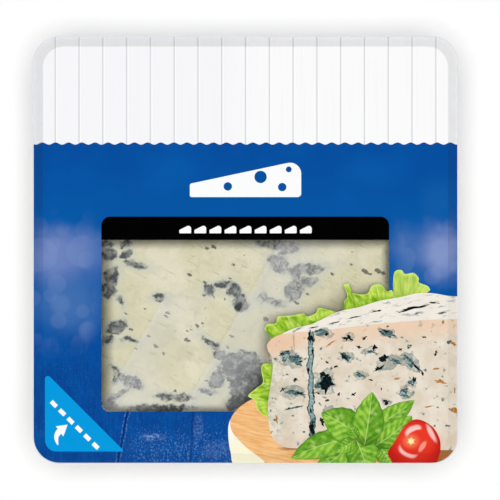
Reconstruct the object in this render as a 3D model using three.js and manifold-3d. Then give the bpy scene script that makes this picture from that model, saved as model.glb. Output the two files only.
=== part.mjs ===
// A sealed retail pack holding one wedge of blue cheese, lying flat with its printed lid film on top.
// Millimetres, +Z up. The origin is on the resting plane, under the middle of the pack. +Y is the top edge of
// the lid's print. Three pieces: a thin thermoformed tray, the lid film sealed to its flange, and the cheese
// wedge, which lies on a sloping hollow bed moulded into the tray, so that its upper cut face is level under
// the film.
import * as THREE from "three";
import { mergeVertices } from "three/addons/utils/BufferGeometryUtils.js";
import Module from "manifold-3d";

// Cheese: a sector cut from a drum, lying on one cut face with the other cut face level under the film
const DRUM_RADIUS = 102;
const DRUM_HEIGHT = 108;
const WEDGE_ANGLE = THREE.MathUtils.degToRad(16);
const TIP_THICKNESS = 4;
const CHEESE_EDGE = 1.5; // rounding of the wedge's edges
const BED_CLEARANCE = 0.3; // between the cheese and the bed under it

// Room around the cheese, at the mouth of the tray
const SIDE_ROOM = 7.6;
const RIND_ROOM = 8.4;
const BACK_ROOM = 13.4; // from the drum's centre line
const HEADSPACE = 4; // from the cheese up to the film

// Lid film and the flange that it is sealed to
const SEAL_WIDTH = 3.4;
const LID_CORNER = 8.25;
const FILM_THICKNESS = 0.2;
const SEAL_LAYER = 0.05; // the peelable layer between flange and film

// Tray
const WALL = 0.6;
const WALL_DRAFT = THREE.MathUtils.degToRad(5);
const MOUTH_CORNER = 5.5;
const SHOULDER_DROP = 3.5; // depth of the upright band under the flange
const SHOULDER_STEP = 0.8; // how far the wall steps in below that band
const FLOOR_CORNER = 7;
const FLOOR_BEVEL = 2.5; // height of the slanted edge between wall and foot
const FLOOR_BEVEL_RUN = 1.25; // how far that edge runs inwards
const FOOT_WIDTH = 3.2;
const FOOT_HEIGHT = 1.2; // how far the floor panel stands above the resting plane
const FOOT_STEP_RUN = 0.6; // how far the slanted step from foot up to panel runs inwards
const CHEESE_ABOVE_PANEL = 1.2; // lowest point of the cheese above the floor panel

// Bed: the sloping hollow island moulded into the floor
const BED_OVERHANG = 5; // how far the cheese hangs over each side of the bed
const TIP_OVERHANG = 6; // how far it hangs over the bed's back
const BED_CORNER = 4;
const BED_LEAN = 2; // how far each side of the bed leans in from the floor to the bed's full height
const GROOVES = 5; // drain grooves running down the bed
const GROOVE_WIDTH = 5;
const GROOVE_DEPTH = 1;

// Upright flutes that stiffen the walls
const FLUTES_PER_SIDE = 5;
const FLUTE_END_ROOM = 21; // from the first flute to the corner of the tray's mouth
const FLUTE_RADIUS = 2.6;
const FLUTE_REACH = 1.5; // how far a flute stands into the tray

// Fineness and tolerances of the model
const CORNER_STEPS = 6; // straight steps in each rounded corner and in the rind's arc
const CHEESE_EDGE_STEPS = 3;
const FLUTE_SIDES = 10;
const FLUTE_CAP_STEPS = 2;
const BEYOND = 5; // how far a cutting tool runs past what it cuts
const WELD = 1e-4; // points nearer to each other than this are one point

// Levels and places that follow from the sizes above
const panelTop = FOOT_HEIGHT + WALL;
const cheeseTop = panelTop + CHEESE_ABOVE_PANEL + DRUM_RADIUS * Math.sin(WEDGE_ANGLE);
const filmLow = cheeseTop + HEADSPACE;
const flangeTop = filmLow - SEAL_LAYER;
const mouth = { x: DRUM_HEIGHT / 2 + SIDE_ROOM, y: (RIND_ROOM + DRUM_RADIUS + BACK_ROOM) / 2 };
const lid = { x: mouth.x + SEAL_WIDTH, y: mouth.y + SEAL_WIDTH };
const drumAxisY = mouth.y - BACK_ROOM;
const tipRun = TIP_THICKNESS / 2 / Math.tan(WEDGE_ANGLE / 2); // from the drum's axis to the blunt tip
const wallRun = (drop) => drop * Math.tan(WALL_DRAFT);

const wasm = await Module();
wasm.setup();

// A closed three.js geometry as a manifold-3d solid, and back.
function solidOf(geometry) {
  const bare = geometry.index ? geometry.toNonIndexed() : geometry.clone();
  for (const name of Object.keys(bare.attributes)) if (name !== "position") bare.deleteAttribute(name);
  const merged = mergeVertices(bare, WELD);
  return new wasm.Manifold(new wasm.Mesh({
    numProp: 3,
    vertProperties: merged.attributes.position.array,
    triVerts: new Uint32Array(merged.index.array),
  }));
}

function geometryOf(solid) {
  const mesh = solid.getMesh();
  const geometry = new THREE.BufferGeometry();
  geometry.setAttribute("position", new THREE.BufferAttribute(Float32Array.from(mesh.vertProperties), 3));
  geometry.setIndex(new THREE.BufferAttribute(Uint32Array.from(mesh.triVerts), 1));
  geometry.computeVertexNormals();
  return geometry;
}

// A rounded rectangle about the Z axis, as a ring of points at one level.
function ring(halfX, halfY, corner, z) {
  const points = [];
  for (let quarter = 0; quarter < 4; quarter++) {
    const sideX = quarter === 0 || quarter === 3 ? 1 : -1;
    const sideY = quarter < 2 ? 1 : -1;
    for (let step = 0; step <= CORNER_STEPS; step++) {
      const turn = (quarter + step / CORNER_STEPS) * (Math.PI / 2);
      points.push(new THREE.Vector3(
        sideX * (halfX - corner) + corner * Math.cos(turn),
        sideY * (halfY - corner) + corner * Math.sin(turn),
        z,
      ));
    }
  }
  return points;
}

// A closed skin through a row of rings, with a flat cap on the first and the last. Seen from outside, the rings
// run from the top cap down to the bottom cap.
function loft(rings) {
  const count = rings[0].length;
  const positions = rings.flat().flatMap((p) => [p.x, p.y, p.z]);
  const index = [];
  for (let row = 0; row + 1 < rings.length; row++) {
    for (let i = 0; i < count; i++) {
      const a = row * count + i;
      const b = row * count + ((i + 1) % count);
      index.push(a, a + count, b, b, a + count, b + count);
    }
  }
  const last = (rings.length - 1) * count;
  for (let i = 1; i + 1 < count; i++) {
    index.push(0, i, i + 1);
    index.push(last, last + i + 1, last + i);
  }
  const geometry = new THREE.BufferGeometry();
  geometry.setAttribute("position", new THREE.Float32BufferAttribute(positions, 3));
  geometry.setIndex(index);
  return geometry;
}

// One skin of the tub's wall, from the flange down to the floor: drop is how far its top lies under the
// flange's top, rise how far its lower end stands above the floor's bevel, and out how far it lies outside
// the mouth.
function wallRings({ drop, rise, out }) {
  const top = flangeTop - drop;
  const shoulder = top - SHOULDER_DROP;
  const step = shoulder - SHOULDER_STEP;
  const bevelTop = FLOOR_BEVEL + rise;
  const halfAt = (z, inwards) => {
    const run = wallRun(flangeTop - z) + inwards - out;
    return [mouth.x - run, mouth.y - run];
  };
  return [
    ring(...halfAt(top, 0), MOUTH_CORNER + out, top),
    ring(...halfAt(shoulder, 0), MOUTH_CORNER + out, shoulder),
    ring(...halfAt(step, SHOULDER_STEP), MOUTH_CORNER + out, step),
    ring(...halfAt(bevelTop, SHOULDER_STEP), FLOOR_CORNER + out, bevelTop),
  ];
}

// Where the floor's flat begins, on the tray's inside and outside.
const floorEdge = (axis) => mouth[axis] - wallRun(flangeTop - FLOOR_BEVEL) - SHOULDER_STEP - FLOOR_BEVEL_RUN;

// One skin of the tub's floor: the foot that runs round it and the raised panel inside the foot.
function footRings(level, grow) {
  const half = { x: floorEdge("x") + grow, y: floorEdge("y") + grow };
  const inner = { x: floorEdge("x") - FOOT_WIDTH - grow, y: floorEdge("y") - FOOT_WIDTH - grow };
  const panel = { x: inner.x - FOOT_STEP_RUN, y: inner.y - FOOT_STEP_RUN };
  return [
    ring(half.x, half.y, FLOOR_CORNER - FLOOR_BEVEL_RUN + grow, level),
    ring(inner.x, inner.y, FLOOR_CORNER - FOOT_WIDTH, level),
    ring(panel.x, panel.y, FLOOR_CORNER - FOOT_WIDTH, level + FOOT_HEIGHT),
  ];
}

const outerRings = () => [...wallRings({ drop: WALL, rise: 0, out: WALL }), ...footRings(0, WALL / 2)];

function tub() {
  const inside = [...wallRings({ drop: 0, rise: WALL, out: 0 }), ...footRings(WALL, 0)].reverse();
  const flange = [
    ring(lid.x, lid.y, LID_CORNER, flangeTop),
    ring(lid.x, lid.y, LID_CORNER, flangeTop - WALL),
  ];
  return solidOf(loft([...inside, ...flange, ...outerRings()]));
}

// A box with its lower face along the wedge's lower cut face, sunk by depth below it, turned about the
// drum's axis.
function slopingBox(width, x, depth, height) {
  const reach = 2 * DRUM_RADIUS;
  const box = new THREE.BoxGeometry(width, reach, height);
  box.translate(x, -reach / 2 + BEYOND, height / 2 - depth);
  box.rotateX(WEDGE_ANGLE);
  box.translate(0, drumAxisY, cheeseTop);
  return solidOf(box);
}

const bedFront = -floorEdge("y") + FOOT_WIDTH + FOOT_STEP_RUN + BED_CORNER;
const bedBack = drumAxisY - tipRun - TIP_OVERHANG;
const bedHalfX = DRUM_HEIGHT / 2 - BED_OVERHANG;

// An upright block on the bed's outline, its sides drawn in by inset and leaning inwards as they rise.
function bedBlock(inset, low) {
  const halfY = (bedBack - bedFront) / 2 - inset;
  const high = cheeseTop + BEYOND;
  const at = (z) => {
    const lean = (BED_LEAN * z) / cheeseTop;
    return ring(bedHalfX - inset - lean, halfY - lean, BED_CORNER - inset, z);
  };
  const block = loft([at(high), at(low)]);
  block.translate(0, (bedBack + bedFront) / 2, 0);
  return solidOf(block);
}

function grooveBoxes(width, depth) {
  const pitch = (2 * bedHalfX) / GROOVES;
  return Array.from({ length: GROOVES }, (_, i) =>
    slopingBox(width, (i - (GROOVES - 1) / 2) * pitch, depth, DRUM_RADIUS));
}

// The bed's skin: a block cut off along the slope, with its grooves, less the hollow left under it by the
// same sheet.
function withBed(tray) {
  const wide = 2 * mouth.x;
  let block = bedBlock(0, FOOT_HEIGHT + WALL / 2).subtract(slopingBox(wide, 0, BED_CLEARANCE, DRUM_RADIUS));
  let hollow = bedBlock(WALL, -BEYOND).subtract(slopingBox(wide, 0, BED_CLEARANCE + WALL, DRUM_RADIUS));
  for (const box of grooveBoxes(GROOVE_WIDTH, BED_CLEARANCE + GROOVE_DEPTH)) block = block.subtract(box);
  for (const box of grooveBoxes(GROOVE_WIDTH + 2 * WALL, BED_CLEARANCE + GROOVE_DEPTH + WALL)) {
    hollow = hollow.subtract(box);
  }
  return tray.add(block).subtract(hollow);
}

// Upright half-round flutes pressed into the walls: each adds a rounded rib inside and takes a groove
// outside. No rib may stand out of the tub's whole outer shape.
function withFlutes(tray) {
  const low = FLOOR_BEVEL + WALL + FLUTE_RADIUS;
  const high = flangeTop - SHOULDER_DROP - SHOULDER_STEP - WALL - FLUTE_RADIUS;
  const fill = solidOf(loft(outerRings()));
  const sides = [
    { turn: 0, half: mouth.y, width: mouth.x },
    { turn: Math.PI / 2, half: mouth.x, width: mouth.y },
    { turn: Math.PI, half: mouth.y, width: mouth.x },
    { turn: -Math.PI / 2, half: mouth.x, width: mouth.y },
  ];
  let added = tray;
  const cuts = [];
  for (const { turn, half, width } of sides) {
    for (let i = 0; i < FLUTES_PER_SIDE; i++) {
      const along = (width - FLUTE_END_ROOM) * (i / (FLUTES_PER_SIDE - 1) - 0.5) * 2;
      const capsule = (radius) => {
        const shape = new THREE.CapsuleGeometry(radius, high - low, FLUTE_CAP_STEPS, FLUTE_SIDES);
        shape.rotateX(Math.PI / 2);
        shape.rotateX(-WALL_DRAFT);
        const middle = (low + high) / 2;
        const wall = half - SHOULDER_STEP - wallRun(flangeTop - middle) + WALL;
        shape.translate(along, wall + FLUTE_RADIUS - FLUTE_REACH, middle);
        shape.rotateZ(turn);
        return solidOf(shape);
      };
      added = added.add(capsule(FLUTE_RADIUS + WALL).intersect(fill));
      cuts.push(capsule(FLUTE_RADIUS));
    }
  }
  return cuts.reduce((solid, cut) => solid.subtract(cut), added);
}

function trayGeometry() {
  return geometryOf(withFlutes(withBed(tub())));
}

function filmGeometry() {
  const high = filmLow + FILM_THICKNESS;
  return loft([
    ring(lid.x, lid.y, LID_CORNER, high),
    ring(lid.x, lid.y, LID_CORNER, filmLow),
  ]);
}

// The wedge seen along the drum's axis, drawn smaller by the edge rounding that the extrusion adds: the blunt
// tip, the level cut edge, the rind's arc and the lower cut edge.
function wedgeOutline() {
  const outline = new THREE.Shape();
  const radius = DRUM_RADIUS - CHEESE_EDGE;
  const sideTurn = Math.asin(CHEESE_EDGE / radius);
  const tipX = tipRun + CHEESE_EDGE;
  const tipHalf = tipX * Math.tan(WEDGE_ANGLE / 2) - CHEESE_EDGE / Math.cos(WEDGE_ANGLE / 2);
  outline.moveTo(-tipX, -tipHalf);
  outline.lineTo(-tipX, tipHalf);
  for (let step = 0; step <= CORNER_STEPS; step++) {
    const turn = (WEDGE_ANGLE / 2 - sideTurn) * (1 - (2 * step) / CORNER_STEPS);
    outline.lineTo(-radius * Math.cos(turn), radius * Math.sin(turn));
  }
  outline.closePath();
  return outline;
}

function cheeseGeometry() {
  const solid = new THREE.ExtrudeGeometry(wedgeOutline(), {
    depth: DRUM_HEIGHT - 2 * CHEESE_EDGE,
    steps: 1,
    bevelEnabled: true,
    bevelThickness: CHEESE_EDGE,
    bevelSize: CHEESE_EDGE,
    bevelSegments: CHEESE_EDGE_STEPS,
  });
  solid.translate(0, 0, -DRUM_HEIGHT / 2 + CHEESE_EDGE);
  solid.rotateZ(WEDGE_ANGLE / 2);
  solid.rotateY(Math.PI / 2);
  solid.rotateX(Math.PI / 2);
  return solid;
}

function node(name, geometry, material) {
  const mesh = new THREE.Mesh(geometry, material);
  mesh.name = name;
  return mesh;
}

const clearPlastic = new THREE.MeshStandardMaterial({
  color: 0xe6edf0, roughness: 0.12, metalness: 0, transparent: true, opacity: 0.35,
});
const printedFilm = new THREE.MeshStandardMaterial({ color: 0x0a55a5, roughness: 0.25, metalness: 0 });
const blueCheese = new THREE.MeshStandardMaterial({ color: 0xdfdcc4, roughness: 0.6, metalness: 0 });

const tray = node("tray", trayGeometry(), clearPlastic);
const film = node("lid_film", filmGeometry(), printedFilm);
const cheese = node("cheese_wedge", cheeseGeometry(), blueCheese);
cheese.position.set(0, drumAxisY, cheeseTop);

const pack = new THREE.Group();
pack.add(tray, film, cheese);
export default pack;
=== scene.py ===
# %% [markdown]
# # A packed wedge of blue cheese
# The pack is a clear moulded tray with a printed film sealed over it. A window in the print shows the cheese
# that lies just under the film. The sizes come from a packed model of the tray, the film and the wedge, and
# this lesson gives each of them its looks.

import math

import bpy
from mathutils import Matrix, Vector, noise


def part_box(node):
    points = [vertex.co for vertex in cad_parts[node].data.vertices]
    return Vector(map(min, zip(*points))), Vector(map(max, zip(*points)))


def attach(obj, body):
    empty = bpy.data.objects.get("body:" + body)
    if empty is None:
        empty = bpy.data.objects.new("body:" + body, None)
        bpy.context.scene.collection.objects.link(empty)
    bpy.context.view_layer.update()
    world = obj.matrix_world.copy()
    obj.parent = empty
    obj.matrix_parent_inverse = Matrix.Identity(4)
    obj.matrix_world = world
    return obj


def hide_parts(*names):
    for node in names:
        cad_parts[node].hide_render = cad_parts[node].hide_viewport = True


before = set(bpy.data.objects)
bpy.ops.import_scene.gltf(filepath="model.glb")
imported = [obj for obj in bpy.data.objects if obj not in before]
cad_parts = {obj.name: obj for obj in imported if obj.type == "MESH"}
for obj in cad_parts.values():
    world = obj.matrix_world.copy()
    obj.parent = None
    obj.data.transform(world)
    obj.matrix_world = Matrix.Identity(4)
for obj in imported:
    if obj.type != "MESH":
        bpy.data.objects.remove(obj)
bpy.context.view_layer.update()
MM = 0.001

# %% [markdown]
# ## Camera and light
# The pack lies flat and is seen from straight above. A long lens far away keeps its sides parallel. A broad
# disc of light high overhead gives the thin soft shadow round the edge, and the sky fills it in. Neither may
# mirror in the glossy film, or they would lay a white veil over the print. Softboxes low at the sides do
# mirror in it, but only for someone who looks across the pack.

# %% Camera
film_low, film_high = (Vector(corner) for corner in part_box("lid_film"))
VIEW_WIDTH = 152.6 * MM
VIEW_OFFSET = 1.37 * MM  # the pack lies a little left of the view's middle
LENS = 200
scene = bpy.context.scene
camera_data = bpy.data.cameras.new("camera")
camera_data.lens = LENS
camera_distance = VIEW_WIDTH * LENS / camera_data.sensor_width
camera = bpy.data.objects.new("camera", camera_data)
camera.location = (VIEW_OFFSET, 0, film_high.z + camera_distance)
scene.collection.objects.link(camera)
scene.camera = camera
scene.view_settings.view_transform = "Standard"
scene.cycles.transparent_max_bounces = 48  # light crosses many clear walls before it leaves the tray
print("camera stands", round(camera_distance, 3), "m above the film")

# %% [markdown]
# The disc is a sun lamp with a wide angle, so its shadows are soft. The softboxes stand at the corners of the
# view and all look at the pack.

# %% Light
SKY = 0.07
KEY = 0.9
KEY_SPREAD = math.radians(36)
world = bpy.data.worlds.new("sky")
scene.world = world
world.use_nodes = True
world.node_tree.nodes["Background"].inputs["Color"].default_value = (1, 1, 1, 1)
world.node_tree.nodes["Background"].inputs["Strength"].default_value = SKY
world.cycles_visibility.glossy = False

key_data = bpy.data.lights.new("overhead_disc", "SUN")
key_data.energy = KEY * math.pi
key_data.angle = KEY_SPREAD
key = bpy.data.objects.new("overhead_disc", key_data)
key.visible_glossy = False
scene.collection.objects.link(key)

SOFTBOX_TURNS = (35, 145, 215, 325)
SOFTBOX_DISTANCE = 0.9
SOFTBOX_HEIGHT = 0.42
SOFTBOX_WIDE, SOFTBOX_TALL = 0.7, 0.35
SOFTBOX_POWER = 0.22
for number, turn in enumerate(SOFTBOX_TURNS):
    softbox_data = bpy.data.lights.new(f"softbox_{number}", "AREA")
    softbox_data.shape = "RECTANGLE"
    softbox_data.size, softbox_data.size_y = SOFTBOX_WIDE, SOFTBOX_TALL
    softbox_data.energy = SOFTBOX_POWER
    softbox = bpy.data.objects.new(f"softbox_{number}", softbox_data)
    angle = math.radians(turn)
    aside = SOFTBOX_DISTANCE * math.cos(angle), SOFTBOX_DISTANCE * math.sin(angle)
    softbox.location = (*aside, SOFTBOX_HEIGHT)
    softbox.rotation_euler = (-softbox.location).to_track_quat("-Z", "Y").to_euler()
    scene.collection.objects.link(softbox)

# %% [markdown]
# ## A short way to write materials
# Every colour here is worked out by nodes from a place on the piece. Wiring those by hand is slow to read, so
# one class wraps a node's output and lets it be used in sums, and another makes the nodes of one material.

# %% Outputs that can be used in sums
class Output:
    """A node's output. Each operator adds one Math node to the material and gives its output."""

    def __init__(self, finish, socket):
        self.finish = finish
        self.socket = socket

    def math(self, operation, *values):
        return self.finish.add("ShaderNodeMath", {"operation": operation}, dict(enumerate(values)))

    def __add__(self, other):
        return self.math("ADD", self, other)

    def __radd__(self, other):
        return self.math("ADD", other, self)

    def __sub__(self, other):
        return self.math("SUBTRACT", self, other)

    def __rsub__(self, other):
        return self.math("SUBTRACT", other, self)

    def __mul__(self, other):
        return self.math("MULTIPLY", self, other)

    def __rmul__(self, other):
        return self.math("MULTIPLY", other, self)

    def __truediv__(self, other):
        return self.math("DIVIDE", self, other)

    def __abs__(self):
        return self.math("ABSOLUTE", self)

    def least(self, other):
        return self.math("MINIMUM", self, other)

    def most(self, other):
        return self.math("MAXIMUM", self, other)

    def fraction(self):
        return self.math("FRACT", self)


print("ready:", Output.__doc__)

# %% [markdown]
# A finish starts from a place: the spot on the piece in metres, or in the piece's own flat map. Noise, cells
# and ovals turn the place into a number, a soft step turns that into a share, and the share mixes two
# colours.

# %% One material and its nodes
def ink(red, green, blue):
    """A printed colour, as a paint program gives it, in the linear light that shaders use."""
    parts = [value / 255 for value in (red, green, blue)]
    return tuple(part / 12.92 if part < 0.04045 else ((part + 0.055) / 1.055) ** 2.4 for part in parts)


class Finish:
    """A material, with a method for each kind of node that the pack's finishes use."""

    def __init__(self, name):
        self.material = bpy.data.materials.new(name)
        self.material.use_nodes = True
        self.nodes = self.material.node_tree.nodes
        self.nodes.clear()

    def add(self, kind, settings, inputs, output=0):
        node = self.nodes.new(kind)
        for setting, value in settings.items():
            setattr(node, setting, value)
        for name, value in inputs.items():
            socket = node.inputs[name]
            if isinstance(value, Output):
                self.material.node_tree.links.new(value.socket, socket)
            elif isinstance(value, tuple) and len(value) == 3 and len(socket.default_value) == 4:
                socket.default_value = (*value, 1)
            else:
                socket.default_value = value
        return Output(self, node.outputs[output])

    def place(self):
        return self.add("ShaderNodeTexCoord", {}, {}, "Object")

    def own_map(self):
        return self.add("ShaderNodeTexCoord", {}, {}, "UV")

    def axis(self, vector, name):
        return self.add("ShaderNodeSeparateXYZ", {}, {0: vector}, name)

    def longer(self, vector, times, turn=0.0):
        """Places on which a pattern comes out so many times longer along each axis. The axes turn first."""
        inputs = {"Vector": vector, "Scale": times, "Rotation": (0, 0, turn)}
        return self.add("ShaderNodeMapping", {"vector_type": "TEXTURE"}, inputs)

    def noise(self, vector, size, detail=2.0, roughness=0.5):
        inputs = {"Vector": vector, "Scale": 1 / size, "Detail": detail, "Roughness": roughness}
        return self.add("ShaderNodeTexNoise", {}, inputs, 0)

    def cells(self, vector, size):
        """How far a place is from the middle of its cell, as a share of the cells' size."""
        return self.add("ShaderNodeTexVoronoi", {}, {"Vector": vector, "Scale": 1 / size}, "Distance")

    def shaken(self, vector, size, reach, detail=2.0):
        """The same places, each moved by up to half of reach, so that shapes drawn on them get ragged."""
        inputs = {"Vector": vector, "Scale": 1 / size, "Detail": detail}
        colour = self.add("ShaderNodeTexNoise", {}, inputs, "Color")
        shift = self.add("ShaderNodeVectorMath", {"operation": "SUBTRACT"}, {0: colour, 1: (0.5, 0.5, 0.5)})
        far = self.add("ShaderNodeVectorMath", {"operation": "SCALE"}, {0: shift, "Scale": reach})
        return self.add("ShaderNodeVectorMath", {"operation": "ADD"}, {0: vector, 1: far})

    def ball(self, vector, centre, radii, turn=0.0):
        """How far out a place is in an oval: 0 in its middle and 1 at its edge."""
        inputs = {"Vector": vector, "Location": centre, "Rotation": (0, 0, turn), "Scale": radii}
        local = self.add("ShaderNodeMapping", {"vector_type": "TEXTURE"}, inputs)
        return self.add("ShaderNodeVectorMath", {"operation": "LENGTH"}, {0: local}, "Value")

    def oval(self, vector, middle, reach, turn=0.0):
        """The same for an oval on the lid. It is given in millimetres, and its turn in degrees."""
        (x, y), (wide, high) = middle, reach
        return self.ball(vector, (x * MM, y * MM, 0), (wide * MM, high * MM, 1), math.radians(turn))

    def fade(self, value, start, end):
        """0 up to start and 1 past end, with a soft step between. End may be the lower of the two."""
        inputs = {"Value": value, "From Min": start, "From Max": end}
        return self.add("ShaderNodeMapRange", {"interpolation_type": "SMOOTHSTEP"}, inputs)

    def mix(self, amount, first, second):
        """The first colour at 0, the second at 1. The Mix node's colours are inputs 6, 7 and output 2."""
        return self.add("ShaderNodeMix", {"data_type": "RGBA"}, {0: amount, 6: first, 7: second}, 2)

    def bump(self, height, distance, strength):
        inputs = {"Height": height, "Distance": distance, "Strength": strength}
        return self.add("ShaderNodeBump", {}, inputs, "Normal")

    def surface(self, colour, roughness, **more):
        """The finished material. More inputs are given by name, such as alpha or specular_ior_level."""
        inputs = {"Base Color": colour, "Roughness": roughness}
        for name, value in more.items():
            inputs[name.replace("_", " ").title().replace("Ior", "IOR")] = value
        return self.show(self.add("ShaderNodeBsdfPrincipled", {}, inputs))

    def print_surface(self, colour, **more):
        """The satin of ink on film: it mirrors less than bare plastic does."""
        return self.surface(colour, 0.35, specular_ior_level=0.2, **more)

    def show(self, shader):
        end = self.nodes.new("ShaderNodeOutputMaterial")
        self.material.node_tree.links.new(shader.socket, end.inputs["Surface"])
        return self.material


print("the field's blue in linear light:", [round(part, 3) for part in ink(0, 77, 158)])

# %% [markdown]
# ## Helpers for flat printed layers
# A print is a pile of inks, each a few thousandths of a millimetre thick. Here each ink is a real sheet with
# its own outline and a hair of thickness, laid a little above the one before, so every printed edge is a true
# edge. An outline is a closed row of places, filled in edit mode and thickened with Solidify.

# %% Making and finishing pieces
INK = 0.012 * MM
LAYER = 0.02 * MM


def choose(*pieces):
    """These pieces selected and no other, with the first one active."""
    bpy.ops.object.select_all(action="DESELECT")
    for piece in pieces:
        piece.select_set(True)
    bpy.context.view_layer.objects.active = pieces[0]


def edit(piece):
    """Edit mode, with the whole of this piece selected."""
    choose(piece)
    bpy.ops.object.mode_set(mode="EDIT")
    bpy.ops.mesh.select_all(action="SELECT")


def thicken(piece, thickness):
    """A sheet becomes a closed solid that reaches down from where it was."""
    solid = piece.modifiers.new("thickness", "SOLIDIFY")
    solid.thickness = thickness
    solid.offset = -1
    choose(piece)
    bpy.ops.object.modifier_apply(modifier=solid.name)


def keep(piece, node, material):
    """The piece gets its finish and joins the root body, and the packed part it stands for is hidden."""
    piece.data.materials.clear()
    piece.data.materials.append(material)
    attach(piece, "root")
    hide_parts(node)
    print("kept", piece.name, "with", len(piece.data.polygons), "faces")


def keep_print(piece, material):
    """The same for a layer of the lid."""
    keep(piece, "lid_film", material)


def sheet(name, outlines, height, thickness=INK):
    """Closed outlines filled flat at one height. An outline inside another one is a hole."""
    points, edges = [], []
    for outline in outlines:
        first = len(points)
        points += [(x, y, height) for x, y in outline]
        edges += [(first + i, first + (i + 1) % len(outline)) for i in range(len(outline))]
    mesh = bpy.data.meshes.new(name)
    mesh.from_pydata(points, edges, [])
    piece = bpy.data.objects.new(name, mesh)
    scene.collection.objects.link(piece)
    edit(piece)
    bpy.ops.mesh.fill()
    bpy.ops.object.mode_set(mode="OBJECT")
    if mesh.polygons[0].normal.z < 0:
        mesh.flip_normals()
    thicken(piece, thickness)
    return piece


def runs_left(outline):
    """True for an outline that runs counter-clockwise, so that its face looks up."""
    pairs = zip(outline, outline[1:] + outline[:1])
    return sum(x1 * y2 - x2 * y1 for (x1, y1), (x2, y2) in pairs) > 0


def patches(name, outlines, height, step=0.0):
    """Many small filled outlines in one piece. Each lies one step above the last, so they may overlap."""
    points, faces = [], []
    for number, outline in enumerate(outlines):
        turned = outline if runs_left(outline) else outline[::-1]
        faces.append(list(range(len(points), len(points) + len(turned))))
        points += [(x, y, height + number * step) for x, y in turned]
    mesh = bpy.data.meshes.new(name)
    mesh.from_pydata(points, [], faces)
    piece = bpy.data.objects.new(name, mesh)
    scene.collection.objects.link(piece)
    thicken(piece, INK)
    return piece


print("a layer of ink is", INK / MM, "mm thick, and the next lies", LAYER / MM, "mm higher")

# %% [markdown]
# Machine-cut edges are straight lines and arcs. What a painter drew is a smooth curve through a few given
# places, or an oval that noise makes ragged. A layer may not reach past the edge of the print, so there is a
# trimmer too.

# %% Outlines
ARC_STEPS = 10
CURVE_STEPS = 6


def rounded(corners):
    """An outline with arcs for corners, counter-clockwise. Each corner is x, y and its radius, in metres."""
    points = []
    for i, (x, y, radius) in enumerate(corners):
        corner = Vector((x, y))
        back = (Vector(corners[i - 1][:2]) - corner).normalized()
        ahead = (Vector(corners[(i + 1) % len(corners)][:2]) - corner).normalized()
        half = back.angle(ahead) / 2
        middle = corner + (back + ahead).normalized() * radius / math.sin(half)
        first = corner + back * radius / math.tan(half) - middle
        sweep = math.pi - 2 * half
        for step in range(ARC_STEPS + 1):
            turn = math.atan2(first.y, first.x) + sweep * step / ARC_STEPS
            points.append((middle.x + radius * math.cos(turn), middle.y + radius * math.sin(turn)))
    return points


def box_outline(left, right, low, high, radii):
    """A rectangle with rounded corners, from the upper right one counter-clockwise."""
    places = ((right, high), (left, high), (left, low), (right, low))
    return rounded([(x, y, radius) for (x, y), radius in zip(places, radii)])


def metres(places):
    """Places given in millimetres, in metres."""
    return [(x * MM, y * MM) for x, y in places]


def smooth(places, steps=CURVE_STEPS, closed=True):
    """A smooth curve (Catmull-Rom) through places given in millimetres."""
    count = len(places)
    points = []
    for i in range(count if closed else count - 1):
        pick = [places[(i + k) % count if closed else min(max(i + k, 0), count - 1)] for k in (-1, 0, 1, 2)]
        a, b, c, d = (Vector(place) for place in pick)
        for step in range(steps):
            t = step / steps
            bend = (a - b * 2.5 + c * 2 - d / 2) * t**2 + ((b - c) * 1.5 + (d - a) / 2) * t**3
            spot = b + (c - a) * t / 2 + bend
            points.append((spot.x * MM, spot.y * MM))
    if not closed:
        points.append((places[-1][0] * MM, places[-1][1] * MM))
    return points


def cut_along(outline, start, end):
    """The part of an outline to the left of a straight cut."""
    run_x, run_y = end[0] - start[0], end[1] - start[1]
    sides = [run_x * (y - start[1]) - run_y * (x - start[0]) for x, y in outline]
    kept = []
    for i, (a, side_a) in enumerate(zip(outline, sides)):
        following = (i + 1) % len(outline)
        b, side_b = outline[following], sides[following]
        if side_a >= 0:
            kept.append(a)
        if (side_a >= 0) != (side_b >= 0):
            share = side_a / (side_a - side_b)
            kept.append((a[0] + (b[0] - a[0]) * share, a[1] + (b[1] - a[1]) * share))
    return kept


def trimmed(outline, border):
    """The part of an outline that lies inside a convex border."""
    for start, end in zip(border, border[1:] + border[:1]):
        if math.dist(start, end) > 1e-9:
            outline = cut_along(outline, start, end)
    return outline


def blob(x, y, half_width, half_height, turn, ragged, steps=22):
    """A ragged oval, in millimetres, turned by degrees. Its edge is pushed in and out by noise."""
    points = []
    turn = math.radians(turn)
    for step in range(steps):
        angle = 2 * math.pi * step / steps
        spot = Vector((math.cos(angle) * 1.3 + x * 3.1, math.sin(angle) * 1.3 + y * 2.7, 0.5))
        reach = 1 + ragged * (noise.noise(spot) * 1.6 + noise.noise(spot * 2.7) * 1.1)
        across, along = half_width * reach * math.cos(angle), half_height * reach * math.sin(angle)
        points.append(((x + across * math.cos(turn) - along * math.sin(turn)) * MM,
                       (y + across * math.sin(turn) + along * math.cos(turn)) * MM))
    return points


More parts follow.
